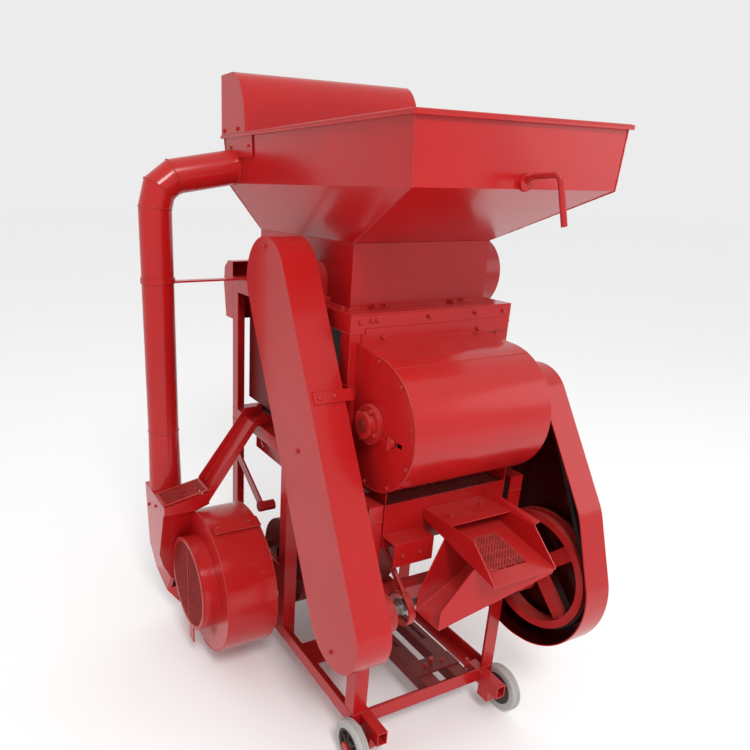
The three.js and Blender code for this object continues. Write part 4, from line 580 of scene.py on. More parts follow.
def finish_tree(tree, given, result, last_socket):
    realize = node(tree, "GeometryNodeRealizeInstances", {"Geometry": last_socket})
    paint = node(tree, "GeometryNodeSetMaterial", {
        "Geometry": realize.outputs["Geometry"], "Material": given["Finish"]})
    fill(tree, result, {"Geometry": paint.outputs["Geometry"]})
    print("tree:", tree.name, "nodes:", len(tree.nodes))


def grown_mesh(tree, start, slot_name, **sizes):
    source = in_scene("work", start)
    modifier = source.modifiers.new("grow", "NODES")
    modifier.node_group = tree
    values = {key.replace("_", " "): value for key, value in sizes.items()}
    values["finish"] = finish_of_slot[slot_name]
    for item in tree.interface.items_tree:
        if item.item_type == "SOCKET" and item.in_out == "INPUT" and item.name.lower() in values:
            modifier[item.identifier] = values[item.name.lower()]
    return baked(source)


def joined(name, meshes):
    return closed_up(opened(*meshes), bpy.data.meshes.new(name))


# %% [markdown]
# A bolt is a six-sided head on a round washer. The places come as loose points that carry the
# direction in which the head looks. Each head is turned about its own axis by a random angle with
# a fixed seed, because nobody lines up bolt heads with a spanner.

# %% Bolt heads on washers
HEAD_SIDES, WASHER_SIDES, CROWN_SIDES = 6, 18, 12
CROWN_HEIGHT, MOST_SPIN = 0.0012, 1.047
bolt_tree, given, result = shape_tree("bolt heads", [
    ("Head radius", NUMBER, 0.0058), ("Head height", NUMBER, 0.0045),
    ("Washer radius", NUMBER, 0.0085), ("Washer height", NUMBER, 0.0013),
    ("Seed", "NodeSocketInt", 4)])
half_head_radius, half_head, half_washer = (
    calc(bolt_tree, "MULTIPLY", given[size], 0.5)
    for size in ("Head radius", "Head height", "Washer height"))
washer = node(bolt_tree, "GeometryNodeMeshCylinder", {
    "Vertices": WASHER_SIDES, "Radius": given["Washer radius"], "Depth": given["Washer height"]})
head = node(bolt_tree, "GeometryNodeMeshCylinder", {
    "Vertices": HEAD_SIDES, "Radius": given["Head radius"], "Depth": given["Head height"]})
crown = node(bolt_tree, "GeometryNodeMeshCone", {
    "Vertices": CROWN_SIDES, "Radius Top": half_head_radius,
    "Radius Bottom": given["Head radius"], "Depth": CROWN_HEIGHT})
head_middle = calc(bolt_tree, "ADD", half_head, given["Washer height"])
crown_foot = calc(bolt_tree, "ADD", given["Head height"], given["Washer height"])
whole_bolt = node(bolt_tree, "GeometryNodeJoinGeometry")
for shape, height in ((washer, half_washer), (head, head_middle), (crown, crown_foot)):
    up = node(bolt_tree, "ShaderNodeCombineXYZ", {"Z": height})
    lifted = node(bolt_tree, "GeometryNodeTransform", {
        "Geometry": shape.outputs["Mesh"], "Translation": up.outputs["Vector"]})
    fill(bolt_tree, whole_bolt, {"Geometry": lifted.outputs["Geometry"]})
outward = node(bolt_tree, "GeometryNodeInputNamedAttribute", {"Name": "outward"},
               data_type="FLOAT_VECTOR")
facing = node(bolt_tree, "FunctionNodeAlignRotationToVector", {
    "Vector": outward.outputs["Attribute"]}, axis="Z")
spin_angle = node(bolt_tree, "FunctionNodeRandomValue", {
    2: 0.0, 3: MOST_SPIN, "Seed": given["Seed"]}, data_type="FLOAT")
spin = node(bolt_tree, "FunctionNodeAxisAngleToRotation", {"Angle": spin_angle.outputs[1]})
turned = node(bolt_tree, "FunctionNodeRotateRotation", {
    "Rotation": facing.outputs["Rotation"], "Rotate By": spin.outputs["Rotation"]},
    rotation_space="LOCAL")
set_bolts = node(bolt_tree, "GeometryNodeInstanceOnPoints", {
    "Points": given["Geometry"], "Instance": whole_bolt.outputs["Geometry"],
    "Rotation": turned.outputs["Rotation"]})
finish_tree(bolt_tree, given, result, set_bolts.outputs["Instances"])

# %% [markdown]
# Rods, rolled rims, weld beads and wires are all one section drawn along a path. The tree takes a
# path as a chain of edges, rounds its corners, and sweeps a circle along it. For a weld the
# section swells and shrinks along the way, as the pool of metal did, and a fixed noise makes the
# line a little unsteady.

# %% A round section along a path
BEND_STEPS, WANDER_SCALE = 6, 55.0
sweep_tree, given, result = shape_tree("swept round", [
    ("Radius", NUMBER, 0.002), ("Bend radius", NUMBER, 0.0), ("Step", NUMBER, 0.01),
    ("Ripple", NUMBER, 0.0), ("Ripple length", NUMBER, 0.005), ("Sides", "NodeSocketInt", 12),
    ("Unsteady", NUMBER, 0.0)])
path = node(sweep_tree, "GeometryNodeMeshToCurve", {"Mesh": given["Geometry"]})
bend = node(sweep_tree, "GeometryNodeFilletCurve", {
    "Curve": path.outputs["Curve"], "Radius": given["Bend radius"], "Count": BEND_STEPS,
    "Limit Radius": True}, mode="POLY")
even = node(sweep_tree, "GeometryNodeResampleCurve", {
    "Curve": bend.outputs["Curve"], "Length": given["Step"]}, mode="LENGTH")
has_ripple = node(sweep_tree, "FunctionNodeCompare", {"A": given["Ripple"]},
                  data_type="FLOAT", operation="GREATER_THAN")
ripples = node(sweep_tree, "GeometryNodeSwitch", {
    "Switch": has_ripple.outputs["Result"], "False": bend.outputs["Curve"],
    "True": even.outputs["Curve"]}, input_type="GEOMETRY")
along = node(sweep_tree, "GeometryNodeSplineParameter")
turns = calc(sweep_tree, "DIVIDE", along.outputs["Length"], given["Ripple length"])
wave = calc(sweep_tree, "SINE", calc(sweep_tree, "MULTIPLY", turns, math.tau))
swell = calc(sweep_tree, "MULTIPLY_ADD", wave, given["Ripple"], 1.0)
wander = node(sweep_tree, "ShaderNodeTexNoise", {"Scale": WANDER_SCALE, "Detail": 1.0})
off_line = node(sweep_tree, "ShaderNodeVectorMath", {
    0: wander.outputs["Color"], 1: (0.5, 0.5, 0.5)}, operation="SUBTRACT")
small_step = node(sweep_tree, "ShaderNodeVectorMath", {
    0: off_line.outputs["Vector"], "Scale": given["Unsteady"]}, operation="SCALE")
shaken = node(sweep_tree, "GeometryNodeSetPosition", {
    "Geometry": ripples.outputs["Output"], "Offset": small_step.outputs["Vector"]})
thickness = node(sweep_tree, "GeometryNodeSetCurveRadius", {
    "Curve": shaken.outputs["Geometry"], "Radius": swell})
section = node(sweep_tree, "GeometryNodeCurvePrimitiveCircle", {
    "Resolution": given["Sides"], "Radius": given["Radius"]})
swept = node(sweep_tree, "GeometryNodeCurveToMesh", {
    "Curve": thickness.outputs["Curve"], "Profile Curve": section.outputs["Curve"],
    "Fill Caps": True})
finish_tree(sweep_tree, given, result, swept.outputs["Mesh"])

# %% [markdown]
# A rod is smooth along its length and has flat ends. A weld is the same sweep with a ripple and
# an unsteady line.

# %% Rods and welds from chains of points
WELD = dict(step=0.0013, ripple=0.16, ripple_length=0.0052, sides=8, unsteady=0.0012)


def paths_mesh(name, chains, closed=False):
    points = []
    edges = []
    for chain in chains:
        first = len(points)
        points += [place(*spot) for spot in chain]
        edges += [(first + i, first + i + 1) for i in range(len(chain) - 1)]
        if closed:
            edges.append((len(points) - 1, first))
    return new_mesh(name, points, edges=edges)


def rods(chains, radius, bend=0.0, sides=14):
    mesh = grown_mesh(sweep_tree, paths_mesh("rods", chains), "red_casting", radius=radius * MM,
                      bend_radius=bend * MM, sides=sides)
    for polygon in mesh.polygons:
        polygon.use_smooth = len(polygon.vertices) == 4
    return mesh


def welds(chains, radius, closed=False):
    return grown_mesh(sweep_tree, paths_mesh("welds", chains, closed), "red_enamel",
                      radius=radius * MM, **WELD)


# %% [markdown]
# ## The lift pipe
# The pipe was cut from thin round tube and welded at its bends. Each joint is a mitre: both tubes
# meet in the plane that halves the bend. A ring of points is laid in each such plane, inside and
# outside, and the last ring lies on the hopper's sloping wall, where the tube was cut to fit.

# %% Lift pipe from mitred rings
PIPE_WALL, PIPE_SIDES, CUT_BACK = 2.5, 48, 60.0
HOPPER_WALL_X, HOPPER_WALL_Z, HOPPER_WALL_SLOPE = -263.4, 1405.6, 7.0 / 127.0
pipe_stations = [(Vector(spot), radius) for spot, radius in (
    ((-491.0, 612.0, 506.3), 50.0), ((-491.0, 612.0, 695.3), 46.0),
    ((-491.0, 612.0, 1339.6), 46.0), ((-477.2, 612.0, 1390.2), 46.0),
    ((-435.8, 612.0, 1420.7), 46.0), ((-257.0, 592.0, 1450.6), 46.0))]
PIPE_END = len(pipe_stations) - 1


def mitred_ring(index, less):
    centre, radius = pipe_stations[index]
    come = (centre - pipe_stations[max(index - 1, 0)][0]).normalized()
    leave = (pipe_stations[min(index + 1, PIPE_END)][0] - centre).normalized()
    along = come if index else leave
    across = Vector((0, 1, 0)).cross(along).normalized()
    side = along.cross(across)
    plane = (come + leave).normalized() if index else leave
    ring = []
    for step in range(PIPE_SIDES):
        turn = math.tau * step / PIPE_SIDES
        spot = centre + (radius - less) * (math.cos(turn) * across + math.sin(turn) * side)
        if index == PIPE_END:
            start = spot - along * CUT_BACK
            gap = HOPPER_WALL_X - HOPPER_WALL_SLOPE * (start.z - HOPPER_WALL_Z) - start.x
            spot = start + along * (gap / (along.x + HOPPER_WALL_SLOPE * along.z))
        else:
            spot = spot + along * ((centre - spot).dot(plane) / along.dot(plane))
        ring.append(spot)
    return ring


def ring_mesh(name, rings):
    count = len(rings[0])
    faces = []
    for index in range(len(rings)):
        this, following = index * count, (index + 1) % len(rings) * count
        for k in range(count):
            after = (k + 1) % count
            faces.append((this + k, this + after, following + after, following + k))
    return new_mesh(name, [place(*spot) for ring in rings for spot in ring], faces)


def faces_out(mesh, sharp):
    work = opened(mesh)
    bmesh.ops.recalc_face_normals(work, faces=work.faces)
    return smoothed(closed_up(work, mesh), sharp)


outer_rings = [mitred_ring(index, 0.0) for index in range(PIPE_END + 1)]
inner_rings = [mitred_ring(index, PIPE_WALL) for index in range(PIPE_END + 1)]
pipe_mesh = faces_out(ring_mesh("lift_pipe_skin", outer_rings + inner_rings[::-1]), 9.0)
keep_mesh("lift_pipe_skin", pipe_mesh, "machine", "red_enamel", ("lift_pipe",))
pipe_seams = [[spot[:] for spot in ring] for ring in outer_rings[1:]]
print("pipe faces:", len(pipe_mesh.polygons))

# %% [markdown]
# ## Wheels
# A wheel is a cast hub with a solid rubber tyre. Both are turned shapes: an outline of pairs of
# place along the axle and radius is spun about the axle. The tyre has rounded shoulders and two
# grooves, and the hub's face is hollowed, with six ribs from the boss to the rim.

# %% Turned tyres and ribbed hubs
WHEEL_START, AXLE_HEIGHT, EDGE_ANGLE = 235.8, 65.0, 35.0
RIBS, FIRST_RIB, HALF_RIB = 6, 0.3, 2.6
BOX_FACES = [(0, 1, 2, 3), (7, 6, 5, 4), (0, 4, 5, 1), (1, 5, 6, 2), (2, 6, 7, 3), (3, 7, 4, 0)]
wheel_spots = {"front_left": (-1, -150.0), "rear_left": (-1, 706.0), "front_right": (1, -150.0),
               "rear_right": (1, 706.0)}
tyre_outline = [(0, 45), (0, 57), (0.8, 60.5), (3, 63.3), (6, 64.6), (9, 65), (9.6, 62.8),
                (11.4, 62.8), (12, 65), (16, 65), (16.6, 62.8), (18.4, 62.8), (19, 65),
                (22, 64.6), (25, 63.3), (27.2, 60.5), (28, 57), (28, 54), (27, 53), (27, 51),
                (28, 50), (28, 45)]
hub_outline = [(0, 9), (0, 44.7), (28, 44.7), (28, 38.5), (26.5, 37.5), (17, 36.5), (15.5, 35),
               (15.5, 19), (17, 17.5), (31, 16.5), (32, 15.5), (32, 9)]
rib_outline = [(15.2, 17.0), (15.2, 36.5), (24.5, 37.8), (28.0, 17.0)]


def turned_mesh(name, outline, side, axle, start, turns=64):
    y, z = axle
    rings = []
    for step in range(turns):
        turn = math.tau * step / turns
        rings.append([(side * (start + out), y + radius * math.cos(turn),
                       z + radius * math.sin(turn)) for out, radius in outline])
    return ring_mesh(name, rings)


def rib_mesh(side, axle, turn):
    (y, z), cos, sin = axle, math.cos(turn), math.sin(turn)
    points = [place(side * (WHEEL_START + out), y + radius * cos - half * sin,
                    z + radius * sin + half * cos)
              for half in (-HALF_RIB, HALF_RIB) for out, radius in rib_outline]
    return new_mesh("rib", points, BOX_FACES)


for wheel_name, (side, wheel_y) in wheel_spots.items():
    axle = (wheel_y, AXLE_HEIGHT)
    ribs = [rib_mesh(side, axle, math.tau * k / RIBS + FIRST_RIB) for k in range(RIBS)]
    tyre = turned_mesh("tyre", tyre_outline, side, axle, WHEEL_START)
    hub = joined("hub", [turned_mesh("hub", hub_outline, side, axle, WHEEL_START)] + ribs)
    for part, mesh, slot_name in (("tyre_", tyre, "grey_tyre"), ("hub_", hub, "dark_steel")):
        keep_mesh(part + wheel_name + "_skin", faces_out(mesh, EDGE_ANGLE), "wheel_" + wheel_name,
                  slot_name, (part + wheel_name,))
print("wheels:", len(wheel_spots))

# %% [markdown]
# ## Bolts and screws
# A bolt has to sit on its sheet. A ray is sent from outside towards the solid, and where it lands
# the head is set, looking along the face's own normal. So the lists below need only rough places.
# Where no solid is named, the head sits at the place itself, on a thin plate made further down.

# %% Bolts set down on their sheets
UP, LEFT, RIGHT, FRONT, BACK = (0, 0, 1), (-1, 0, 0), (1, 0, 0), (0, -1, 0), (0, 1, 0)
SIDES = ((-1, LEFT), (1, RIGHT))
FIRST_TURN, PAST_SHEET = 0.4, 2.4
sheet_of = {}


def landing(node_name, spot, direction, reach=30.0):
    outward = Vector(direction).normalized()
    if node_name is None:
        return place(*spot), outward
    if node_name not in sheet_of:
        mesh = bpy.data.objects[node_name].data
        sheet_of[node_name] = BVHTree.FromPolygons([vert.co for vert in mesh.vertices],
                                                   [face.vertices for face in mesh.polygons])
    start = place(*spot) + outward * reach * MM
    where, normal = sheet_of[node_name].ray_cast(start, -outward, PAST_SHEET * reach * MM)[:2]
    if where is None:
        print("no sheet under", node_name, spot)
        return None
    return where, normal


def bolt_piece(name, places, body, slot_name, seed, **sizes):
    landed = [pair for pair in (landing(*rough) for rough in places) if pair]
    mesh = new_mesh(name, [where for where, normal in landed])
    outward_of = mesh.attributes.new("outward", "FLOAT_VECTOR", "POINT")
    for index, (where, normal) in enumerate(landed):
        outward_of.data[index].vector = normal
    sizes = {key: value * MM for key, value in sizes.items()}
    keep_mesh(name, grown_mesh(bolt_tree, mesh, slot_name, seed=seed, **sizes), body, slot_name)
    print(name + ":", len(landed), "heads")


def circle_of(node_name, x, shaft, radius, count, direction):
    turns = [FIRST_TURN + math.tau * k / count for k in range(count)]
    return [(node_name, (x, shaft[0] + radius * math.cos(turn),
                         shaft[1] + radius * math.sin(turn)), direction) for turn in turns]


# %% [markdown]
# Each bearing is held by two or four bolts. Those of the blower's bearings stand on a circle about
# the shaft, so a small function gives their places. The others are short rows, written as loops.

# %% Bolts of the bearings
bearing_bolts = []
for side, word in ((-1, "left"), (1, "right")):
    bearing_bolts += [("jack_bearing_" + word, (side * 215.0, -135.3, z), FRONT)
                      for z in (410.0, 520.0)]
    bearing_bolts += [("drum_bearing_" + word, (side * 216.0, y, 1152.6), UP)
                      for y in (158.5, 267.5)]
bearing_bolts += circle_of("blower_bearing_left", -227.3, BLOWER_SHAFT, 37.0, 4, LEFT)
bearing_bolts += circle_of("blower_bearing_right", 183.6, BLOWER_SHAFT, 37.0, 4, RIGHT)
bolt_piece("bearing_bolts", bearing_bolts, "machine", "red_casting", 4,
           head_radius=6.0, washer_radius=8.0)

# %% [markdown]
# The sheets are screwed to the frame and to each other with smaller bolts, painted over with the
# rest. The blower's rim has ten places on its circle, and only those in front are used. The order
# of the list matters: the random turn of each head goes by its number in the list.

# %% Bolts of the sheets
NEAR_THE_FRONT = -20.0
sheet_bolts = [bolt for bolt in circle_of("blower_housing", -214.0, BLOWER_SHAFT, 147.0, 10, LEFT)
               if bolt[1][1] < NEAR_THE_FRONT]
sheet_bolts += circle_of("blower_inlet_spider", 170.3, BLOWER_SHAFT, 106.0, 6, RIGHT)
sheet_bolts += [("rear_cover", (x, 749.3, z), BACK)
                for x in (-222.0, 222.0) for z in (1022.0, 1095.0, 1168.0)]
sheet_bolts += [("rear_cover", (x, 749.3, 1022.0), BACK) for x in (-60.0, 60.0)]
sheet_bolts += [("hood", (side * 278.0, y, 1543.0), out)
                for side, out in SIDES for y in (540.0, 634.0)]
sheet_bolts += [("upper_frame", (x, 4.0, 1122.0), FRONT) for x in (-180.0, -165.0)]
sheet_bolts += [("upper_frame", (x, 0.0, z), FRONT)
                for x in (-210.0, 210.0) for z in (735.0, 1120.0)]
sheet_bolts += [("lift_duct", (-541.0, y, z), LEFT) for y, z in ((640.0, 440.0), (560.0, 470.0))]
sheet_bolts += [("left_belt_guard", (x, -28.0, 965.0), FRONT) for x in (-322.0, -284.0)]
sheet_bolts += [("left_belt_guard", (-345.0, y, z), LEFT)
                for y, z in ((213.0, 1270.0), (-171.0, 400.0), (20.0, 826.0))]
sheet_bolts += [("right_belt_guard", (326.0, y, z), RIGHT)
                for y, z in ((-42.0, 960.0), (-240.0, 690.0), (-300.0, 380.0), (-20.0, 480.0))]
sheet_bolts += [("neck", (x, y, 1138.3), UP)
                for x in (-210.0, 210.0) for y in (78.0, 300.0, 538.0)]
bolt_piece("sheet_bolts", sheet_bolts, "machine", "red_casting", 9,
           head_radius=4.6, head_height=3.4, washer_radius=6.6, washer_height=1.0)

# %% [markdown]
# The six screws of the drum's end cover are bare steel. The deck's bolts are a piece of their own,
# because they swing with the deck.

# %% Screws of the drum's end cover, and bolts of the deck
cover_screws = circle_of("drum_end_cover", 300.0, DRUM_SHAFT, 84.0, 6, RIGHT)
bolt_piece("cover_screws", cover_screws, "machine", "bare_steel", 2,
           head_radius=3.4, head_height=2.2, washer_radius=4.6, washer_height=0.8)

deck_bolts = [("kernel_chute", (x, y, 684.0), UP) for x, y in ((-37.0, -172.0), (68.0, -156.0))]
deck_bolts += [("deck_tray", (x, -160.7, 603.0), FRONT) for x in (-160.0, -110.0, 130.0, 168.0)]
deck_bolts += [("deck_tray", (side * 184.0, y, 640.0), out)
               for side, out in SIDES for y in (-60.0, 120.0, 330.0, 560.0)]
bolt_piece("deck_bolts", deck_bolts, "deck", "red_casting", 6,
           head_radius=4.8, head_height=3.6, washer_radius=7.0, washer_height=1.0)

# %% [markdown]
# ## Thin plates
# Straps, clips and the frames of the meshes are thin plates. Each is given by its four corners and
# the direction in which it is thick. Its edges are broken a little, so that they catch the light.

# %% Thin plates from four corners
BROKEN_EDGE, BROKEN_STEPS = 0.0006, 2


def plate(corners, thick):
    points = [place(*spot) for spot in corners]
    points += [point + Vector(thick) * MM for point in points]
    work = bmesh.new()
    verts = [work.verts.new(point) for point in points]
    for face in BOX_FACES:
        work.faces.new([verts[k] for k in face])
    bmesh.ops.bevel(work, geom=list(work.edges), offset=BROKEN_EDGE, segments=BROKEN_STEPS,
                    affect="EDGES")
    bmesh.ops.recalc_face_normals(work, faces=work.faces)
    return closed_up(work, bpy.data.meshes.new("plate"))


# %% [markdown]
# ## Woven wire
# Four openings are closed with woven wire: the fan's inlet, the nut inlet, the chute's window and
# the shaken screen. The wires are straight lines in a sloping plane, cut off at the edge of the
# opening. The same sweep turns them into round wire, with six sides, because there are many.

# %% Wires clipped to an opening
DIAGONAL, SQUARE = (math.pi / 4, -math.pi / 4), (0.0, math.pi / 2)
WIRE_SIDES, FEWEST_SAMPLES = 6, 5


def clipped_lines(inside, low, high, pitch, angle, sample=0.5):
    cos, sin = math.cos(angle), math.sin(angle)
    centre = ((low[0] + high[0]) / 2, (low[1] + high[1]) / 2)
    reach = math.hypot(high[0] - low[0], high[1] - low[1]) / 2
    lines = []
    rows = int(reach / pitch)
    steps = int(2 * reach / sample)
    for row in range(-rows, rows + 1):
        spots = [(centre[0] + (-reach + k * sample) * cos - row * pitch * sin,
                  centre[1] + (-reach + k * sample) * sin + row * pitch * cos)
                 for k in range(steps + 1)]
        kept = [spot for spot in spots if inside(*spot)]
        if len(kept) >= FEWEST_SAMPLES:
            lines.append((kept[0], kept[-1]))
    return lines


def crossed_lines(low, high, pitch, angles=DIAGONAL, sample=0.5):
    def inside(u, v):
        return low[0] <= u <= high[0] and low[1] <= v <= high[1]

    return [line for angle in angles
            for line in clipped_lines(inside, low, high, pitch, angle, sample)]


# %% [markdown]
# The grille keeps hands and husks out of the fan. It is a flat ring with rows of wire, a second
# layer of wires across them and one thicker bar. Both layers are cut off just under the ring.

# %% The fan's grille
GRILLE_FACE, GRILLE_REACH = 490.3, 130.0
grille_low, grille_high = (280.0, 142.0), (540.0, 402.0)
ring_outline = [(0, 128), (0, 139.5), (1, 140), (3.4, 140), (4, 139), (4, 128)]


def in_grille(u, v):
    return math.hypot(u - FAN_SHAFT[0], v - FAN_SHAFT[1]) < GRILLE_REACH


rows, columns = (clipped_lines(in_grille, grille_low, grille_high, pitch, angle)
                 for pitch, angle in zip((9.0, 12.0), SQUARE))
grille_parts = [faces_out(turned_mesh("ring", ring_outline, -1, FAN_SHAFT, GRILLE_FACE, 96),
                          EDGE_ANGLE)]
for x, lines in ((-493.4, rows), (-491.4, columns)):
    grille_parts.append(rods([[(x, *first), (x, *last)] for first, last in lines], 1.2,
                             sides=WIRE_SIDES))
grille_parts.append(rods([[(-492.4, 410.0, 143.0), (-492.4, 410.0, 401.0)]], 1.9, sides=8))
keep_mesh("fan_grille_skin", joined("fan_grille", grille_parts), "machine", "red_casting",
          ("fan_grille",))
print("grille:", len(rows), "rows,", len(columns), "columns")

# %% [markdown]
# The nut inlet is closed by a diagonal mesh that slopes up to the right, in a frame of four thin
# plates. One function lifts each flat place onto the slope, for the wires and the frame alike.

# %% The mesh over the nut inlet, in its thin frame
INLET_LEFT, INLET_RIGHT, INLET_Z, INLET_RISE = -541.0, -400.0, 511.4, 27.0
UNDER_WIRE, FRAME_THICK = 2.4, 3.6


def on_inlet(u, v):
    return (u, v, INLET_Z + (u - INLET_LEFT) * INLET_RISE / (INLET_RIGHT - INLET_LEFT))


inlet_lines = crossed_lines((-538.0, 469.0), (-403.0, 558.0), 7.0)
inlet_parts = [rods([[on_inlet(*spot) for spot in line] for line in inlet_lines], 1.0,
                    sides=WIRE_SIDES)]
for u_low, u_high, v_low, v_high in ((-541, -400, 466.2, 474), (-541, -400, 553, 560.8),
                                     (-541, -533, 474, 553), (-408, -400, 474, 553)):
    corners = [on_inlet(u, v) for u, v in ((u_low, v_low), (u_high, v_low), (u_high, v_high),
                                           (u_low, v_high))]
    inlet_parts.append(plate([(x, y, z - UNDER_WIRE) for x, y, z in corners],
                             (0, 0, FRAME_THICK)))
keep_mesh("inlet_mesh_skin", joined("inlet_mesh", inlet_parts), "machine", "red_casting",
          ("inlet_mesh",))
print("inlet:", len(inlet_lines), "wires")

# %% [markdown]
# The wires of the chute and of the screen have to lie on sloping sheets. The height of a sheet is
# measured with the same ray at two places, and a straight line between them gives the rest.

# %% Wires in the chute's window and on the shaken screen
WIRE_LIFT, FAR = 0.9, 35.0


def height_at(node_name, x, y, z):
    where = landing(node_name, (x, y, z), UP, FAR)[0]
    return (where - place(0, 0, 0)).z * 1000.0


def wires_on(node_name, x, first, second, lines):
    start = height_at(node_name, x, *first)
    rise = (height_at(node_name, x, *second) - start) / (second[0] - first[0])
    print(node_name, "wires:", len(lines), "slope:", round(rise, 3))
    return [[(u, v, start + WIRE_LIFT + (v - first[0]) * rise) for u, v in line]
            for line in lines]


window_chains = wires_on("kernel_chute", 90.0, (-222.0, 640.0), (-272.0, 640.0),
                         crossed_lines((-63.0, -284.6), (65.0, -217.0), 6.0))
window_chains += wires_on("kernel_chute", 90.0, (-292.0, 640.0), (-342.0, 625.0),
                          crossed_lines((-63.0, -318.0), (65.0, -285.4), 6.0))
keep_mesh("chute_wires", rods(window_chains, 0.9, sides=WIRE_SIDES), "deck", "red_casting")
screen_chains = wires_on("deck_screen", 0.0, (-60.0, 706.0), (430.0, 733.0),
                         crossed_lines((-172.0, -100.0), (172.0, 448.0), 9.0, SQUARE, 1.0))
keep_mesh("screen_wires", rods(screen_chains, 0.8, sides=WIRE_SIDES), "deck", "red_casting")

# %% [markdown]
# ## Straps, clips and laps
# Small folded straps hold the sheets together: two clips at the neck's foot, a long strip across
# the frame's front, an angle and a foot plate on the lift fan, a lap on the hopper and one on the
# blower, and a turned-out lip beside the chute.

# %% Straps and laps on the sheets
CLIP_HALF, CLIP_THICK = 29, 2.2
LAP_FRONT, LAP_BACK, LAP_SUNK = -140.0, -126.0, 0.6
straps = []
for x in (-120.0, 112.0):
    near, far = x - CLIP_HALF, x + CLIP_HALF
    straps.append(plate([(near, 62.7, 1139), (far, 62.7, 1139), (far, 62.7, 1147),
                         (near, 62.7, 1147)], (0, -CLIP_THICK, 0)))
    straps.append(plate([(near, 62.5, 1138.6), (far, 62.5, 1138.6), (far, 44, 1138.6),
                         (near, 44, 1138.6)], (0, 0, CLIP_THICK)))
lap_low = height_at("blower_housing", 0.0, LAP_FRONT, 1050.0) - LAP_SUNK
lap_high = height_at("blower_housing", 0.0, LAP_BACK, 1055.0) - LAP_SUNK
straps += [plate(corners, thick) for corners, thick in (
    ([(-206, -0.3, 1073), (166, -0.3, 1073), (166, -0.3, 1093), (-206, -0.3, 1093)],
     (0, -2.5, 0)),
    ([(-440, 316, 471), (-296, 316, 471), (-296, 352, 483), (-440, 352, 483)], (0, 0, 4)),
    ([(-440, 348, 470), (-296, 348, 470), (-296, 348, 484), (-440, 348, 484)], (0, 4, 0)),
    ([(-486, 392, 66), (-482, 392, 66), (-482, 428, 66), (-486, 428, 66)], (0, 0, 71)),
    ([(-268.8, 458, 1471), (-268.8, 621, 1471), (-271.6, 621, 1528), (-271.6, 458, 1528)],
     (-2.0, 0, 0)),
    ([(-213, LAP_FRONT, lap_low), (165, LAP_FRONT, lap_low), (165, LAP_BACK, lap_high),
      (-213, LAP_BACK, lap_high)], (0, 0, 2.2)))]
keep_mesh("straps_and_laps", joined("straps", straps), "machine", "red_enamel")
chute_lip = plate([(110.5, -114, 683), (110.5, -284, 683), (128, -284, 688), (122, -114, 701)],
                  (0, 0, 2.0))
keep_mesh("chute_lip", chute_lip, "deck", "red_enamel")
print("straps:", len(straps), "lap at z", round(lap_low, 1))

# %% [markdown]
# The smallest screws hold the clips, the strip, the fan's angle and the lap on the hopper. Two
# more are on the frame's front and two on the motor's rails. Those on the strip and the angle are
# given without a solid, because these plates aren't solids.

# %% Screws that hold the straps
small_screws = [("hopper", (-274.0, y, 1500.0), LEFT) for y in (482.0, 600.0)]
small_screws += [("neck", (x + shift, 54.0, 1140.0), UP)
                 for x in (-120.0, 112.0) for shift in (-16.0, 15.0)]
small_screws += [("upper_frame", (x, 0.0, 1122.0), FRONT) for x in (-20.0, 120.0)]
small_screws += [(None, (x, -2.8, 1083.0), FRONT) for x in (-150.0, 130.0)]
small_screws += [(None, (x, 332.0, 480.3), (0, -0.3, 1)) for x in (-425.0, -330.0)]
small_screws += [("motor_rails", (x, -52.0, 131.0), UP) for x in (50.0, 108.0)]
bolt_piece("small_screws", small_screws, "machine", "red_casting", 12,
           head_radius=3.6, head_height=4.6, washer_radius=5.0, washer_height=2.8)

# %% [markdown]
# ## Bent rods and rolled edges
# The hopper's rim is rolled over a wire, so that it doesn't cut the hands that fill it. The gate's
# pull rod is bent cold, with an even radius at each bend. The rod of the solid is cut off outside
# its boss and a bent one takes its place.

# %% Rolled rim and pull rod
RIM_FRONT, RIM_SIDE, RIM_END, RIM_Z = -217.2, 275.2, 489.0, 1530.6
ROD_RADIUS, ROD_RISE, ROD_SUNK, BOSS_END, FIRST_BEND = 6.0, 0.4364, 6.6, -227.0, -237.0
rim_path = [(x, y, RIM_Z) for x, y in ((-RIM_SIDE, RIM_END), (-RIM_SIDE, RIM_FRONT),
                                       (RIM_SIDE, RIM_FRONT), (RIM_SIDE, RIM_END))]
keep_mesh("rolled_rim", rods([rim_path], 3.4, bend=7.0), "machine", "red_casting")

rod_z = height_at("feed_gate", 3.0, -250.0, 1430.0) - ROD_SUNK
work = opened(bpy.data.objects["feed_gate"].data)
bmesh.ops.remove_doubles(work, verts=work.verts, dist=MERGE)
bmesh.ops.bisect_plane(work, geom=list(work.verts) + list(work.edges) + list(work.faces),
                       plane_co=place(0, BOSS_END, 0), plane_no=(0, -1, 0), clear_outer=True)
bmesh.ops.holes_fill(work, edges=[edge for edge in work.edges if edge.is_boundary])
gate_mesh = closed_up(work, bpy.data.meshes.new("gate"))
rod_start = BOSS_END + 1.0
rod_path = [(3.0, rod_start, rod_z - (rod_start - FIRST_BEND) * ROD_RISE),
            (3.0, FIRST_BEND, rod_z), (3.0, -297.0, rod_z + 3.0), (27.0, -303.0, rod_z - 87.5)]
pull_rod = rods([rod_path], ROD_RADIUS, bend=13.0, sides=20)
keep_mesh("feed_gate_skin", joined("feed_gate", [gate_mesh, pull_rod]), "gate", "red_casting",
          ("feed_gate",))
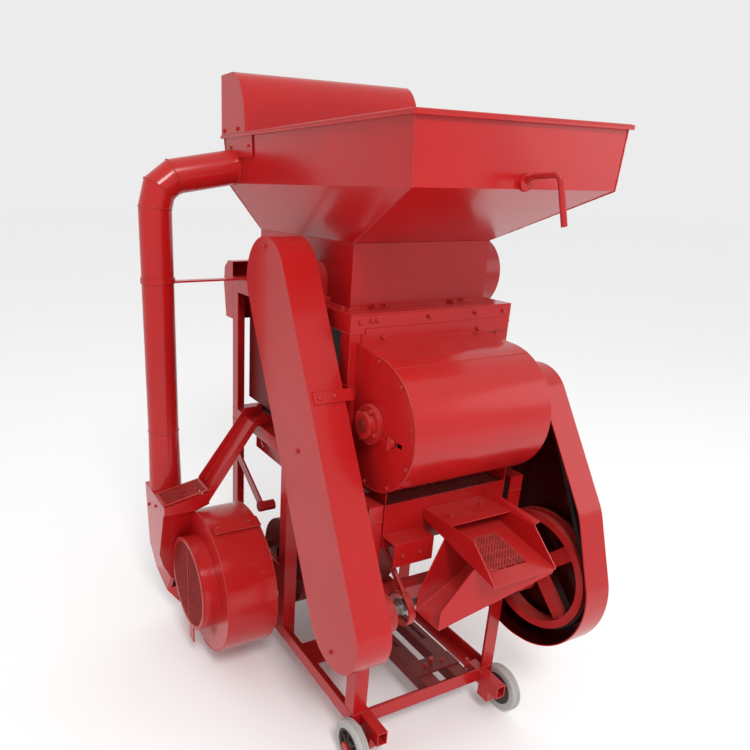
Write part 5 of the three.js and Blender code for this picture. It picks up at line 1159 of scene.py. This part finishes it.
straight_bolt = [(163, -94, 118), (163, -94, 150)]
hook_bolt = [(75, -47, 118), (75, -47, 146), (64, -58, 158)]
keep_mesh("tie_bolts", rods([straight_bolt, hook_bolt], 5.0, bend=6.0), "machine", "red_casting")
print("rod height:", round(rod_z, 1))

# %% [markdown]
# ## Weld beads
# The stand and the frame are welded from angle iron, and the hopper's corners and the pipe's bends
# are welded from outside. A bead is a row of small overlapping puddles, one about every five
# millimetres, so its thickness rises and falls along the seam.

# %% Weld beads along the seams
LEG, INNER, OUTER = 40, 196, 235
ARC_STEPS, BEAD, PIPE_BEAD = 60, 1.7, 1.8
seams = [
    [(side * 199, y_low, 1287), (side * 263, y_belt, 1405.6), (side * 270, y_rim, 1531)]
    for side in (-1, 1) for y_low, y_belt, y_rim in ((63, -212, -212), (553, 638, 654))]


def corner_seam(side, y, step, z):
    return [(side * INNER, y, z), (side * OUTER, y, z), (side * OUTER, y + step, z)]


def arc(x, shaft, radius, first, last):
    turns = [math.radians(first + (last - first) * k / ARC_STEPS) for k in range(ARC_STEPS + 1)]
    return [(x, shaft[0] + radius * math.cos(turn), shaft[1] + radius * math.sin(turn))
            for turn in turns]


for side in (-1, 1):
    seams += [corner_seam(side, y, step, z) for y, step in ((-121, LEG), (677, -LEG))
              for z in (125.4, 679.6)]
    seams.append([(side * OUTER, 277, 125.4), (side * OUTER, 317, 125.4)])
    seams += [corner_seam(side, 0, LEG, z) for z in (760.6, 1094.6)]
seams.append(arc(-213.6, BLOWER_SHAFT, 154.6, 92, 300))
seams += [arc(x, FAN_SHAFT, 212.6, -20, 268) for x in (-447.6, -297.4)]
neck_ring = [(-199, 63, 1138.8), (199, 63, 1138.8), (199, 553, 1138.8), (-199, 553, 1138.8)]
beads = joined("beads", [welds(seams, BEAD), welds([neck_ring], BEAD, closed=True),
                         welds(pipe_seams, PIPE_BEAD, closed=True)])
keep_mesh("weld_beads", smoothed(beads), "machine", "red_casting")
print("seams:", len(seams) + 1 + len(pipe_seams), "faces:", len(beads.polygons))
